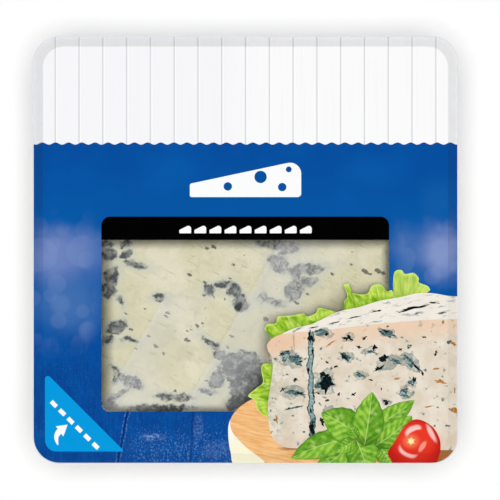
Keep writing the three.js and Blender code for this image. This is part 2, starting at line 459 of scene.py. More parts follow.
def between(name, first, second, height):
    """A patch between two curves with as many places each. Its own map runs across it, and then along it."""
    rows, columns = 6, len(first)
    points, faces, places = [], [], []
    for row in range(rows + 1):
        share = row / rows
        for column, (a, b) in enumerate(zip(first, second)):
            points.append((a[0] + (b[0] - a[0]) * share, a[1] + (b[1] - a[1]) * share, height))
            places.append((share, column / (columns - 1)))
    for row in range(rows):
        for column in range(columns - 1):
            corner = row * columns + column
            faces.append((corner, corner + 1, corner + columns + 1, corner + columns))
    mesh = bpy.data.meshes.new(name)
    mesh.from_pydata(points, [], faces)
    own_map = mesh.uv_layers.new(name="own_map")
    for loop in mesh.loops:
        own_map.data[loop.index].uv = places[loop.vertex_index]
    if sum(face.normal.z * face.area for face in mesh.polygons) < 0:
        mesh.flip_normals()
    piece = bpy.data.objects.new(name, mesh)
    scene.collection.objects.link(piece)
    thicken(piece, INK)
    return piece


def evenly(points, count):
    """As many places as asked for, at even steps along a row of points."""
    lengths = [0.0]
    for (x1, y1), (x2, y2) in zip(points, points[1:]):
        lengths.append(lengths[-1] + math.hypot(x2 - x1, y2 - y1))
    result, k = [], 0
    for i in range(count):
        goal = lengths[-1] * i / (count - 1)
        while k < len(points) - 2 and lengths[k + 1] < goal:
            k += 1
        share = min(1, (goal - lengths[k]) / max(lengths[k + 1] - lengths[k], 1e-12))
        (x1, y1), (x2, y2) = points[k], points[k + 1]
        result.append((x1 + (x2 - x1) * share, y1 + (y2 - y1) * share))
    return result


def joined(name, pieces):
    choose(*pieces)
    bpy.ops.object.join()
    pieces[0].name = name
    return pieces[0]


print("an arc has", ARC_STEPS, "steps, and a curve", CURVE_STEPS, "from place to place")

# %% [markdown]
# ## The clear film and its white ink
# The film is one clear sheet over the whole flange. Colour printed straight on clear film would look thin, so
# the printer lays white ink first, everywhere but in the window. It is also what shows from inside the tray.

# %% Places on the lid
lid_left, lid_low = film_low.x, film_low.y
lid_right, lid_high = film_high.x, film_high.y
LID_CORNER = 8.25 * MM
CLEAR_EDGE = 0.35 * MM
SHARP = 0.1 * MM  # the smallest corner radius
lid_outline = box_outline(lid_left, lid_right, lid_low, lid_high, [LID_CORNER] * 4)
print_left, print_low = lid_left + CLEAR_EDGE, lid_low + CLEAR_EDGE
print_right, print_high = lid_right - CLEAR_EDGE, lid_high - CLEAR_EDGE
print_corners = [LID_CORNER - CLEAR_EDGE] * 4
print_outline = box_outline(print_left, print_right, print_low, print_high, print_corners)

WINDOW_LEFT, WINDOW_RIGHT = -43.95 * MM, 43.8 * MM
WINDOW_LOW, WINDOW_HIGH = -49.3 * MM, 3.2 * MM
window_corners = [0.2 * MM, 0.2 * MM, 2.4 * MM, 2.4 * MM]  # the upper two and then the lower two
window_outline = box_outline(WINDOW_LEFT, WINDOW_RIGHT, WINDOW_LOW, WINDOW_HIGH, window_corners)
CLEAR_FILM = 0.1 * MM
base_height = film_low.z + CLEAR_FILM + LAYER
window_size = WINDOW_RIGHT - WINDOW_LEFT, WINDOW_HIGH - WINDOW_LOW
print("window in mm:", [round(side / MM, 1) for side in window_size])

# %% Clear film
def clear_film():
    """Clear, but for two slanting bands of painted sheen: faint white glare painted into the film's cover."""
    finish = Finish("clear_film")
    place = finish.place()
    across = finish.axis(place, "X")
    along = finish.axis(place, "Y")
    slope = across - along * 0.58
    # Painted sheen: two slanting bands of white glare, each with a sharp edge on its left that fades out to
    # the right.
    left_sheen = finish.fade(slope, -16.6 * MM, -16.0 * MM) * finish.fade(slope, 6 * MM, -16 * MM)
    left_sheen = left_sheen * finish.fade(along, -9 * MM, -17 * MM)
    right_sheen = finish.fade(slope, 8.7 * MM, 9.5 * MM) * finish.fade(slope, 34 * MM, 9 * MM)
    haze_and_sheen = 0.015 + (left_sheen + right_sheen) * 0.14
    return finish.surface((1.0, 1.0, 1.0), 0.12, alpha=haze_and_sheen)


keep_print(sheet("clear_film", [lid_outline], base_height, CLEAR_FILM), clear_film())

# %% [markdown]
# The white goes over the whole print but the window. It isn't quite even, so a slow noise mixes two whites.

# %% White ink
def white_ink():
    finish = Finish("white_ink")
    cloud = finish.noise(finish.place(), 6 * MM)
    colour = finish.mix(cloud, ink(232, 233, 236), ink(240, 241, 243))
    return finish.surface(colour, 0.5)


ink_height = base_height + LAYER
keep_print(sheet("white_ink", [print_outline, window_outline], ink_height), white_ink())

# %% [markdown]
# The print shades what lies under it, most near its edges. A see-through dark strip runs along the edge of
# what can be seen in the window: its top, left and bottom, the picture that stands into it, and its right.
# The strip's own map runs inwards, and its cover fades out on the way. A thin sheet has two faces, so its
# cover counts twice.

# %% Shade inside the window
def window_shade():
    finish = Finish("window_shade")
    own = finish.own_map()
    cloud = finish.noise(finish.place(), 6 * MM)
    near = finish.fade(finish.axis(own, "X"), 1.0, 0.0) * (0.85 + cloud * 0.3)
    round_way = finish.axis(own, "Y")
    near = near * (1 - finish.fade(round_way, 0.6, 0.66) * finish.fade(round_way, 0.84, 0.78) * 0.35)
    return finish.surface((0.012, 0.012, 0.009), 0.6, specular_ior_level=0.0, alpha=near * 0.3)


# Each side's edge, and the line that its shade reaches: top, left, bottom, picture and right, in millimetres.
SHADE_SIDES = (
    (((43.8, 3.2), (-43.95, 3.2)), ((41.0, -0.2), (-39.6, -0.2))),
    (((-43.95, 3.2), (-43.95, -46.9)), ((-39.6, -0.2), (-39.6, -44.4))),
    (((-43.95, -46.9), (-43.4, -48.6), (-41.6, -49.3), (-4.4, -49.3)),
     ((-39.6, -44.4), (-39.2, -46.2), (-37.4, -46.9), (-8.4, -46.9))),
    (((-4.4, -49.3), (-1.6, -47.4), (2.4, -46.4), (4.6, -41.0), (7.2, -37.0), (7.6, -31.4), (7.4, -25.6),
      (9.5, -22.8), (18, -21.4), (28, -19.4), (33, -16.6), (38, -14.4), (43.8, -13.2)),
     ((-8.4, -46.9), (-6.0, -43.6), (-1.8, -42.0), (0.4, -37.4), (2.6, -34.4), (2.6, -30.4), (2.6, -24.4),
      (6, -18.4), (15.5, -16.6), (23.4, -14.4), (27.6, -10.4), (35, -9.0), (40.8, -9.2))),
    (((43.8, -13.2), (43.8, 3.2)), ((40.8, -9.2), (41.0, -0.2))),
)
SHADE_STEPS = 36
edge_line, shade_line = [], []
for edge_side, shade_side in SHADE_SIDES:
    joint = 1 if edge_line else 0  # a side starts where the last one ended, so its first place is left out
    edge_line += evenly(metres(edge_side), SHADE_STEPS)[joint:]
    shade_line += evenly(metres(shade_side), SHADE_STEPS)[joint:]
shade_strip = between("window_shade", edge_line, shade_line, base_height + LAYER / 2)
keep_print(shade_strip, window_shade())

# %% [markdown]
# ## The white planks
# The upper third of the print shows white painted boards, each with a shaded joint and a bright edge beside
# it. The boards all come from one formula: the place across the lid, divided by a board's width.

# %% White planks
SCALLOP_HEIGHT = 32.5 * MM
PLANK = 7.26 * MM


def white_planks():
    finish = Finish("white_planks")
    place = finish.place()
    board = finish.axis(place, "X") / PLANK + 0.5  # half a board, so that a joint lies on the middle line
    joint = abs(board.fraction() - 0.5) * PLANK
    dark = finish.fade(joint, 0.3 * MM, 0.1 * MM)
    bright_side = abs((board - 0.06).fraction() - 0.5) * PLANK
    bright = finish.fade(bright_side, 0.24 * MM, 0.08 * MM)
    grain = finish.noise(finish.longer(place, (1, 50, 1)), 0.6 * MM, 3)
    side = finish.fade(finish.axis(place, "X"), -10 * MM, 6 * MM)
    colour = finish.mix(side, ink(248, 248, 251), ink(252, 252, 253))
    colour = finish.mix(finish.fade(grain, 0.5, 0.85) * 0.5, colour, ink(240, 240, 243))
    colour = finish.mix(bright, colour, ink(255, 255, 255))
    return finish.print_surface(finish.mix(dark * 0.9, colour, ink(214, 215, 219)))


plank_height = ink_height + LAYER
UNDER_SCALLOPS = 1.5 * MM
plank_box = box_outline(lid_left, lid_right, SCALLOP_HEIGHT - UNDER_SCALLOPS, lid_high, [SHARP] * 4)
plank_outline = trimmed(plank_box, print_outline)
keep_print(sheet("white_planks", [plank_outline], plank_height), white_planks())

# %% [markdown]
# ## The blue field
# Below the boards the print is deep blue, with soft lilac lights at the left and right, as a lens makes them,
# and dark blue boards towards the bottom. Its upper edge is a row of small scallops, which is a sine curve.
# The soft lights are ovals that fade out, and the grain is noise drawn out along the boards.

# %% Blue field
# Each soft light is its middle, its half width and half height in millimetres, its colour and its cover.
LIGHTS = (
    ((-54, -16), (15, 14), ink(66, 112, 177), 0.9),
    ((-48, -1), (11, 11), ink(86, 118, 181), 0.85),
    ((-58, -2), (12, 12.5), ink(112, 135, 192), 0.92),
    ((50, 1), (10, 10), ink(68, 111, 177), 0.9),
    ((60, -1), (10, 11.5), ink(130, 149, 200), 0.95),
    ((59, 14), (9, 12), ink(14, 92, 168), 0.75),
    ((50, -9), (12, 7), ink(34, 99, 172), 0.6),
    ((-22, 24), (12, 9), ink(2, 92, 172), 0.6),
    ((38, 24), (14, 8), ink(4, 92, 172), 0.6),
)
# Each scuff is its middle, its half width and half height, and its cover.
SCUFFS = (((-28.3, -57.1), (5, 1.6), 0.9), ((-14.4, -54), (2.2, 5.5), 0.4), ((-9, -61), (6, 4), 0.35))
BUBBLES = ((13 * MM, 0.13), (7 * MM, 0.1))  # the spacing of each kind, and its cover


def soft_lights(finish, place, colour):
    """Lilac ovals that fade out, and paler round bubbles at the left and right."""
    up = finish.axis(place, "Y")
    soft = finish.shaken(place, 7 * MM, 5 * MM)
    for middle, reach, tone, most in LIGHTS:
        away = finish.oval(soft, middle, reach)
        colour = finish.mix(finish.fade(away, 1.0, 0.15) * most, colour, tone)
    sides = finish.fade(abs(finish.axis(place, "X")), 44 * MM, 50 * MM)
    sides = sides * finish.fade(abs(up + 10 * MM), 24 * MM, 12 * MM)
    for size, most in BUBBLES:
        bubble = finish.fade(finish.cells(place, size), 0.46, 0.36)
        colour = finish.mix(bubble * sides * most, colour, ink(150, 168, 216))
    return colour


def crooked_line(finish, ragged, x, y, slope):
    """How far a place is from a line that runs up the boards, leaning, through x and y in millimetres."""
    return abs(finish.axis(ragged, "X") - x * MM - (finish.axis(ragged, "Y") - y * MM) * slope)


def old_boards(finish, place, colour):
    """Dark blue boards whose paint has worn off: fibres, specks, a crack, a joint and a few scuffs."""
    up = finish.axis(place, "Y")
    across = finish.axis(place, "X")
    boards = finish.fade(up, -22 * MM, -40 * MM)
    fibre = finish.noise(finish.longer(place, (1, 14, 1)), 0.55 * MM, 4, 0.65)
    blotch = finish.noise(finish.longer(place, (1, 2, 1)), 5 * MM, 3, 0.6)
    colour = finish.mix(boards * finish.fade(blotch, 0.4, 0.65) * 0.7, colour, ink(0, 66, 144))
    colour = finish.mix(boards * finish.fade(fibre, 0.44, 0.62) * 0.6, colour, ink(0, 58, 136))
    worn = finish.noise(finish.longer(place, (1, 1.3, 1)), 0.46 * MM, 3, 0.8)
    bare = finish.fade(up, -50 * MM, -61 * MM) * finish.fade(across, -40 * MM, -30 * MM)
    specks = finish.fade(worn, 0.58, 0.66) * (1 - bare) + finish.fade(worn, 0.54, 0.62) * bare
    colour = finish.mix(boards * specks * (0.2 + bare * 0.6), colour, ink(100, 146, 204))
    ragged = finish.shaken(place, 3 * MM, 0.8 * MM)
    crack = crooked_line(finish, ragged, -37.5, -57, 0.2)
    joint = crooked_line(finish, ragged, -16.4, -57, 0.04)
    colour = finish.mix(boards * finish.fade(crack, 0.46 * MM, 0.16 * MM) * 0.85, colour, ink(0, 36, 104))
    colour = finish.mix(boards * finish.fade(joint, 0.42 * MM, 0.14 * MM) * 0.7, colour, ink(0, 46, 118))
    beside = finish.fade(abs(crack - 0.6 * MM), 0.3 * MM, 0.05 * MM)
    colour = finish.mix(boards * beside * finish.fade(worn, 0.46, 0.6) * 0.75, colour, ink(104, 148, 204))
    scuff = finish.fade(finish.noise(place, 0.7 * MM, 4, 0.75), 0.44, 0.58)
    for middle, reach, most in SCUFFS:
        near = finish.fade(finish.oval(place, middle, reach), 1.0, 0.2)
        colour = finish.mix(scuff * near * most, colour, ink(128, 162, 214))
    low = finish.fade(up, -53 * MM, -60 * MM) * finish.fade(across, -46 * MM, -34 * MM)
    return finish.mix(low * finish.fade(blotch, 0.4, 0.6) * 0.2, colour, ink(34, 92, 162))


def blue_field():
    finish = Finish("blue_field")
    place = finish.place()
    up = finish.axis(place, "Y")
    colour = finish.mix(finish.fade(up, 32 * MM, 8 * MM), ink(0, 77, 158), ink(0, 86, 164))
    colour = finish.mix(finish.fade(up, -8 * MM, -34 * MM), colour, ink(0, 78, 157))
    clouds = finish.noise(place, 14 * MM, 2)
    colour = finish.mix(finish.fade(clouds, 0.45, 0.75) * 0.35, colour, ink(2, 92, 174))
    colour = soft_lights(finish, place, colour)
    return finish.print_surface(old_boards(finish, place, colour))


field_height = plank_height + LAYER
SCALLOP_PITCH = 4.015 * MM
SCALLOP_DEPTH = 0.34 * MM
SCALLOP_STEP = SCALLOP_PITCH / 12
CREST = -62.0 * MM  # a scallop is highest here
scallops = []
for i in range(int((lid_right - lid_left) / SCALLOP_STEP) + 2):
    x = lid_right - i * SCALLOP_STEP
    rise = SCALLOP_DEPTH * math.cos(2 * math.pi * (x - CREST) / SCALLOP_PITCH)
    scallops.append((x, SCALLOP_HEIGHT + rise))
below = lid_low - MM
field_outline = trimmed(scallops + [(lid_left - MM, below), (lid_right + MM, below)], print_outline)
keep_print(sheet("blue_field", [field_outline, window_outline], field_height), blue_field())
print("scallops:", round((lid_right - lid_left) / SCALLOP_PITCH))

# %% [markdown]
# ## The black band and the plain marks
# A near-black band closes the window's top. The real print carries its words here. This one carries plain
# marks instead: a wedge with four holes above the band, and a row of small wedges on it.

# %% Black band
def band_black():
    finish = Finish("band_black")
    cloud = finish.noise(finish.place(), 3 * MM)
    return finish.print_surface(finish.mix(cloud, ink(0, 0, 0), ink(4, 4, 5)))


def white_mark():
    finish = Finish("white_mark")
    cloud = finish.noise(finish.place(), 2 * MM)
    return finish.print_surface(finish.mix(cloud, ink(250, 251, 253), ink(255, 255, 255)))


BAND_HIGH = 10.2 * MM
BAND_LAP = 0.1 * MM  # how far the band reaches over the window's upper edge
BAND_SIDE = 0.05 * MM  # and past its sides
band_height = field_height + LAYER
band_left, band_right = WINDOW_LEFT - BAND_SIDE, WINDOW_RIGHT + BAND_SIDE
band_corners = [2.7 * MM, 2.7 * MM, SHARP, SHARP]
band_outline = box_outline(band_left, band_right, WINDOW_HIGH - BAND_LAP, BAND_HIGH, band_corners)
keep_print(sheet("black_band", [band_outline], band_height), band_black())

# %% [markdown]
# The marks are white ink on the blue and the black. The large one is an outline with four round holes in it,
# and the small ones repeat its shape in a row.

# %% Wedge marks
HOLE_STEPS = 20


def wedge_mark(x, y, width, height):
    """A cheese wedge seen from the side: a low tip on the left, a round shoulder and an upright back."""
    left, right = x - width / 2, x + width / 2
    low, high = y - height / 2, y + height / 2
    return rounded([(x * MM, y * MM, radius * height * MM) for x, y, radius in (
        (right, high, 0.3), (left, low + height * 0.36, 0.05), (left, low, 0.05), (right, low, 0.1))])


def round_hole(x, y, radius):
    turns = [2 * math.pi * step / HOLE_STEPS for step in range(HOLE_STEPS)]
    return metres([(x + radius * math.cos(turn), y + radius * math.sin(turn)) for turn in turns])


mark_height = band_height + LAYER
big_mark = [wedge_mark(0, 21.8, 34, 11.3), round_hole(-5.4, 19.4, 1.3), round_hole(4.6, 22.3, 1.9),
            round_hole(11.2, 19.2, 1.3), round_hole(13.2, 24.6, 0.9)]
keep_print(sheet("wedge_mark", big_mark, mark_height), white_mark())
MARKS = 9
MARK_PITCH = 4.6
row = [wedge_mark((i - (MARKS - 1) / 2) * MARK_PITCH, 6.5, 3.6, 2.8) for i in range(MARKS)]
keep_print(patches("band_marks", row, mark_height), white_mark())
print("marks on the band:", MARKS)

# %% [markdown]
# ## The tear tab
# A light blue corner shows where to pull. It is a right-angled triangle with rounded corners. A curved arrow
# and a dashed line along its slope say the same without words.

# %% Tear tab
def tab_blue():
    finish = Finish("tab_blue")
    cloud = finish.noise(finish.place(), 9 * MM)
    return finish.print_surface(finish.mix(cloud, ink(0, 150, 222), ink(4, 158, 226)))


TAB_LEFT, TAB_LOW, TAB_SIDE = -61.2 * MM, -61.5 * MM, 24.3 * MM
tab_outline = rounded([(TAB_LEFT, TAB_LOW, 3.4 * MM), (TAB_LEFT + TAB_SIDE, TAB_LOW, 0.35 * MM),
                       (TAB_LEFT, TAB_LOW + TAB_SIDE, 0.9 * MM)])
keep_print(patches("tear_tab", [tab_outline], band_height), tab_blue())


def stroke(places, wide, ragged=0.0):
    """A curved line through given places, in millimetres. Noise may change its width on the way."""
    line = [Vector(spot) for spot in smooth(places, closed=False)]
    left, right = [], []
    for i, spot in enumerate(line):
        way = (line[min(i + 1, len(line) - 1)] - line[max(i - 1, 0)]).normalized()
        side = Vector((-way.y, way.x)) * wide * MM / 2
        here = spot.to_3d() / (0.9 * MM)
        left.append(tuple(spot + side * (1 + ragged * noise.noise(here))))
        right.append(tuple(spot - side * (1 + ragged * noise.noise(here + Vector((0, 0, 5.3))))))
    return left + right[::-1]


arrow_shaft = smooth([(-57.2, -59.6), (-58.2, -58.1), (-58.3, -56.3), (-57.4, -54.7), (-56.3, -55.9),
                      (-57.1, -57.2)])
arrow_head = metres([(-57.9, -53.8), (-55.6, -56.9), (-54.3, -53.3)])
DASHES = 6
DASH_PITCH, DASH_RUN, DASH_WIDE = 2.55, 1.6, 1.3
FIRST_DASH = (-59.3, -46.2)
dashes = []
for i in range(DASHES):
    x, y = FIRST_DASH[0] + i * DASH_PITCH, FIRST_DASH[1] - i * DASH_PITCH
    dash = [(x + DASH_RUN * share, y - DASH_RUN * share) for share in (0, 0.5, 1)]
    dashes.append(stroke(dash, DASH_WIDE))
keep_print(patches("tear_marks", [arrow_shaft, arrow_head] + dashes, mark_height, INK / 20), white_mark())

# %% [markdown]
# ## The serving picture
# The lower right of the print is a picture: a wooden board, lettuce, a cut piece of cheese, basil and a
# tomato. It is drawn here from scratch, as a collage. Each thing is one flat layer with its own outline, and
# its material shades it. The whole collage is trimmed to the edge of the print.

# %% Wooden board
def board_wood():
    finish = Finish("board_wood")
    place = finish.place()
    grain = finish.noise(finish.longer(place, (10, 1, 1), math.radians(-12)), 0.6 * MM, 4, 0.65)
    tone = finish.mix(finish.fade(grain, 0.35, 0.7), ink(250, 202, 142), ink(232, 166, 100))
    right = finish.fade(finish.axis(place, "X"), 50 * MM, 60 * MM)
    tone = finish.mix(right, tone, finish.mix(grain, ink(200, 130, 74), ink(122, 76, 40)))
    under_cheese = abs(finish.axis(place, "Y") + 60.6 * MM)
    contact = finish.fade(under_cheese, 0.9 * MM, 0.1 * MM)
    contact = contact * finish.fade(finish.axis(place, "X"), 9 * MM, 13 * MM)
    return finish.print_surface(finish.mix(contact * 0.75, tone, ink(124, 74, 44)))


def board_rim():
    finish = Finish("board_rim")
    place = finish.place()
    cloud = finish.noise(place, 3 * MM, 3)
    fall = finish.fade(finish.axis(place, "Y"), -52 * MM, -62 * MM)
    tone = finish.mix(fall, ink(255, 254, 248), ink(253, 249, 220))
    return finish.print_surface(finish.mix(cloud * 0.2, tone, ink(244, 234, 192)))


def pictured(outline):
    """The part of an outline that lies on the print."""
    return trimmed(outline if runs_left(outline) else outline[::-1], print_outline)


board_height = mark_height
rim_outline = smooth([(-1.0, -49.0), (-3.2, -49.8), (-4.9, -52.4), (-5.3, -56.0), (-4.6, -61.4),
                      (-2.4, -66.5), (10, -68), (14, -60), (6, -52)])
wood_outline = smooth([(6, -44.8), (2.4, -45.4), (-0.8, -47.2), (-3.7, -50.0), (-4.7, -52.8), (-3.6, -56.2),
                       (0.2, -60.2), (5.4, -64.2), (9, -68), (30, -69), (66, -69), (66, -52), (30, -46.4)])
keep_print(patches("board_rim", [pictured(rim_outline)], board_height), board_rim())
keep_print(patches("board_wood", [pictured(wood_outline)], board_height + LAYER), board_wood())

# %% [markdown]
# ## Lettuce
# A lettuce leaf is thin, with a frilled edge. Each leaf is stretched between a plain curve, where it goes
# behind the cheese, and its frill. The leaf's own map then runs from root to frill, so its folds and veins
# fan out on their own.

# %% Lettuce
def lettuce_green():
    finish = Finish("lettuce_green")
    own = finish.own_map()
    out = finish.axis(own, "X")
    place = finish.place()
    folds = finish.noise(finish.longer(own, (1.1, 0.11, 1)), 1.0, 2, 0.6)
    crinkle = finish.noise(place, 1.1 * MM, 3, 0.6)
    colour = finish.mix(finish.fade(folds, 0.36, 0.56), ink(104, 160, 10), ink(192, 222, 78))
    colour = finish.mix(finish.fade(crinkle, 0.48, 0.66) * 0.5, colour, ink(132, 192, 20))
    veins = finish.cells(finish.shaken(place, 2 * MM, 1 * MM), 2.2 * MM)
    colour = finish.mix(finish.fade(veins, 0.14, 0.02) * 0.5, colour, ink(206, 234, 112))
    thin = finish.noise(finish.longer(own, (1.7, 0.045, 1)), 1.0, 2, 0.6)
    colour = finish.mix(finish.fade(thin, 0.54, 0.68) * 0.6, colour, ink(222, 240, 150))
    pale_leaf = finish.fade(finish.axis(place, "X"), 43 * MM, 46 * MM) * 0.4
    colour = finish.mix(pale_leaf, colour, ink(218, 232, 128))
    colour = finish.mix(finish.fade(out, 0.84, 1.0) * 0.8, colour, ink(216, 240, 124))
    colour = finish.mix(finish.fade(out, 0.5, 0.0) * 0.55, colour, ink(82, 140, 8))
    return finish.print_surface(colour)


# Each leaf is the curve at its root and the curve of its frill, in millimetres.
LETTUCE = (
    (((45.2, -15.2), (48.6, -15.4), (52.6, -14.6), (57.0, -13.6)),
     ((45.0, -10.6), (45.5, -6.7), (47.6, -6.1), (48.7, -7.3), (51.3, -7.0), (52.9, -8.6), (52.9, -9.9),
      (55.6, -11.0), (56.3, -12.4), (54.6, -12.6), (53.0, -13.4), (57.2, -13.8))),
    (((29.8, -19.2), (34.8, -17.6), (40.6, -15.9), (46.2, -14.8)),
     ((30.2, -15.6), (31.4, -13.6), (29.9, -10.8), (31.6, -10.5), (32.0, -12.7), (34.4, -13.5), (37.2, -13.3),
      (38.6, -10.9), (41.3, -10.6), (43.2, -12.7), (44.6, -12.2), (45.6, -14.4))),
    (((8.0, -27.0), (12.6, -25.6), (19.0, -23.2), (28.6, -19.4)),
     ((5.8, -24.2), (6.7, -22.6), (9.2, -22.4), (9.9, -20.3), (12.0, -20.1), (14.6, -19.9), (17.6, -19.4),
      (18.8, -20.3), (21.4, -19.3), (22.3, -17.7), (25.0, -18.2), (28.4, -19.2))),
    (((8.4, -35.4), (8.2, -40.2), (7.4, -46.0), (7.6, -51.6)),
     ((8.2, -34.8), (5.4, -34.8), (4.8, -36.6), (5.3, -40.4), (3.3, -42.2), (1.2, -43.9), (0.9, -44.8),
      (2.9, -45.9), (3.3, -48.0), (5.0, -50.1), (6.4, -51.0), (7.5, -51.8))),
)
COLUMNS = 60
FRILL_STEPS = 8
lettuce_height = board_height + 2 * LAYER
leaves = []
for number, (root, frill) in enumerate(LETTUCE):
    inner = evenly(smooth(root, FRILL_STEPS, closed=False), COLUMNS)
    outer = evenly(smooth(frill, FRILL_STEPS, closed=False), COLUMNS)
    leaves.append(between(f"lettuce_{number}", inner, outer, lettuce_height + number * INK / 10))
keep_print(joined("lettuce", leaves), lettuce_green())
print("lettuce leaves:", len(LETTUCE))

# %% [markdown]
# ## The pictured cheese
# The picture shows a cut face and a whiter top. The mould's marks are ragged ovals in a few kinds: pale
# green-grey blushes, teal walls, black hollows and brown specks. Each kind is one piece, and the kinds lie
# one over another.

# %% Pictured cheese faces
def pictured_front():
    finish = Finish("pictured_front")
    place = finish.place()
    up = finish.axis(place, "Y")
    across = finish.axis(place, "X")
    cloud = finish.noise(place, 5 * MM, 3)
    colour = finish.mix(finish.fade(cloud, 0.3, 0.7), ink(222, 209, 188), ink(237, 227, 211))
    dull = finish.noise(finish.shaken(place, 3 * MM, 2 * MM), 3.6 * MM, 3, 0.6)
    colour = finish.mix(finish.fade(dull, 0.52, 0.7) * 0.3, colour, ink(202, 190, 168))
    edge_y = -25.2 * MM + (across - 18 * MM) * 0.083
    under = edge_y - up
    colour = finish.mix(finish.fade(under, 7 * MM, 0.5 * MM) * 0.8, colour, ink(240, 206, 176))
    corner = finish.oval(place, (9, -28.5), (9, 5))
    colour = finish.mix(finish.fade(corner, 1.0, 0.3) * 0.8, colour, ink(238, 198, 166))
    crumb = finish.noise(place, 0.55 * MM, 3, 0.7)
    colour = finish.mix(finish.fade(crumb, 0.55, 0.8) * 0.5, colour, ink(222, 208, 192))
    left = finish.fade(across, 18 * MM, 8 * MM) * finish.fade(up, -31 * MM, -35 * MM)
    mottle = finish.noise(place, 1.2 * MM, 4, 0.7)
    colour = finish.mix(left * finish.fade(mottle, 0.42, 0.62) * 0.6, colour, ink(176, 182, 164))
    low = finish.fade(up, -54 * MM, -60 * MM)
    colour = finish.mix(low * 0.4, colour, ink(226, 200, 176))
    spot = finish.noise(finish.shaken(place, 1 * MM, 0.6 * MM), 1.7 * MM, 1, 0.4)
    colour = finish.mix(finish.fade(spot, 0.62, 0.74) * 0.6, colour, ink(148, 164, 158))
    return finish.print_surface(finish.mix(finish.fade(spot, 0.71, 0.76) * 0.85, colour, ink(46, 68, 70)))


def pictured_top():
    finish = Finish("pictured_top")
    place = finish.place()
    cloud = finish.noise(place, 4 * MM, 2)
    colour = finish.mix(cloud, ink(232, 227, 215), ink(250, 243, 232))
    turned = finish.longer(finish.shaken(place, 3 * MM, 1.2 * MM), (4, 1, 1), math.radians(10))
    streaks = finish.noise(turned, 0.9 * MM, 3)
    colour = finish.mix(finish.fade(streaks, 0.56, 0.67) * 0.7, colour, ink(174, 177, 177))
    colour = finish.mix(finish.fade(streaks, 0.68, 0.76) * 0.85, colour, ink(92, 102, 106))
    return finish.print_surface(colour)


FRONT_TOP = ((7.9, -27.2), (9.6, -26.2), (11.6, -25.6), (15.4, -25.1), (19.5, -24.8), (27.1, -24.1),
             (36.7, -22.9), (47.6, -21.9), (55.7, -21.3), (64, -21.1), (72, -21.1))
FRONT_BOTTOM = ((80, -40), (80, -61.0), (66, -61.1), (50, -61.0), (32, -60.8), (21, -60.6), (15, -60.5),
                (12.2, -60.2), (9.6, -58.9), (7.8, -56.2))
FRONT_LEFT = ((7.0, -51.8), (6.9, -46.6), (7.7, -41.0), (8.3, -36.0), (7.9, -32.6), (6.8, -30.6),
              (6.6, -28.9))
BACK_EDGE = ((11.2, -25.9), (15.2, -23.8), (20.5, -22.5), (28.1, -18.9), (34.8, -17.4), (40.5, -15.6),
             (47.6, -14.3), (52.4, -13.2), (57.2, -13.2), (62, -14.0), (68, -14.6), (72, -18))
UNDER_FRONT = ((68, -21.6), (55.7, -21.8), (36.7, -23.4), (19.5, -25.3))  # the front face covers this edge
front_outline = smooth(FRONT_TOP + FRONT_BOTTOM + FRONT_LEFT)
top_outline = smooth(BACK_EDGE + UNDER_FRONT)
face_height = lettuce_height + LAYER
keep_print(patches("pictured_top", [pictured(top_outline)], face_height), pictured_top())
keep_print(patches("pictured_front", [pictured(front_outline)], face_height + LAYER), pictured_front())

# %% [markdown]
# A vein is a crack that the mould has lined. One long crack runs down the cut face as a stroke with an uneven
# width, and the rest are ragged ovals. The kinds are listed in the order they are laid, from the blushes up.

# %% Veins of the pictured cheese
# Each vein is x, y, half its width, half its height, in millimetres, and its turn in degrees.
BLUSHES = (
    (14.2, -33.4, 3.4, 2.6, -15), (14.4, -43.2, 3.6, 1.8, 0), (24.2, -40.4, 3.6, 3.4, 0),
    (23.6, -25.6, 2.9, 1.7, 0), (43.2, -25.6, 2.9, 1.4, -10), (30.4, -32.6, 2.3, 1.9, -30),
    (35.0, -38.2, 1.9, 1.3, 0), (37.8, -30.6, 2.4, 1.1, 20), (43.4, -34.6, 3.4, 2.4, 30),
    (50.0, -34.6, 3.6, 2.0, -35), (48.4, -43.6, 2.6, 1.8, 0), (51.0, -40.4, 1.7, 1.9, 0),
    (25.2, -50.4, 1.7, 2.8, 0), (31.4, -26.6, 1.9, 1.2, 0), (43.0, -46.4, 1.9, 1.0, 0),
)
TEAL = (
    (15.6, -33.6, 1.7, 1.3, -35), (12.2, -32.6, 1.5, 1.2, 20), (14.6, -43.6, 2.4, 0.8, -8),
    (23.2, -25.2, 2.0, 1.0, 10), (23.7, -40.2, 2.2, 2.3, 0), (30.3, -32.4, 1.3, 1.0, -40),
    (34.9, -37.9, 1.2, 0.7, -15), (43.4, -25.4, 2.1, 0.9, -8), (49.9, -29.4, 0.6, 0.6, 0),
    (51.0, -40.4, 1.05, 1.2, -20), (48.2, -43.6, 1.7, 1.15, -10), (50.3, -34.4, 2.0, 0.9, -38),
    (45.9, -33.9, 1.6, 0.6, -15), (37.9, -31.0, 1.3, 0.35, -10), (15.4, -48.0, 2.2, 0.35, 12),
    (53.0, -36.6, 1.3, 0.45, -45),
)
PALE_HEARTS = (
    (12.3, -32.6, 0.75, 0.6, 20), (51.0, -40.4, 0.35, 0.6, -20), (48.0, -43.7, 0.9, 0.5, -10),
    (49.6, -34.0, 0.9, 0.45, -30), (22.3, -25.2, 0.7, 0.35, 0), (49.9, -29.4, 0.28, 0.28, 0),
)
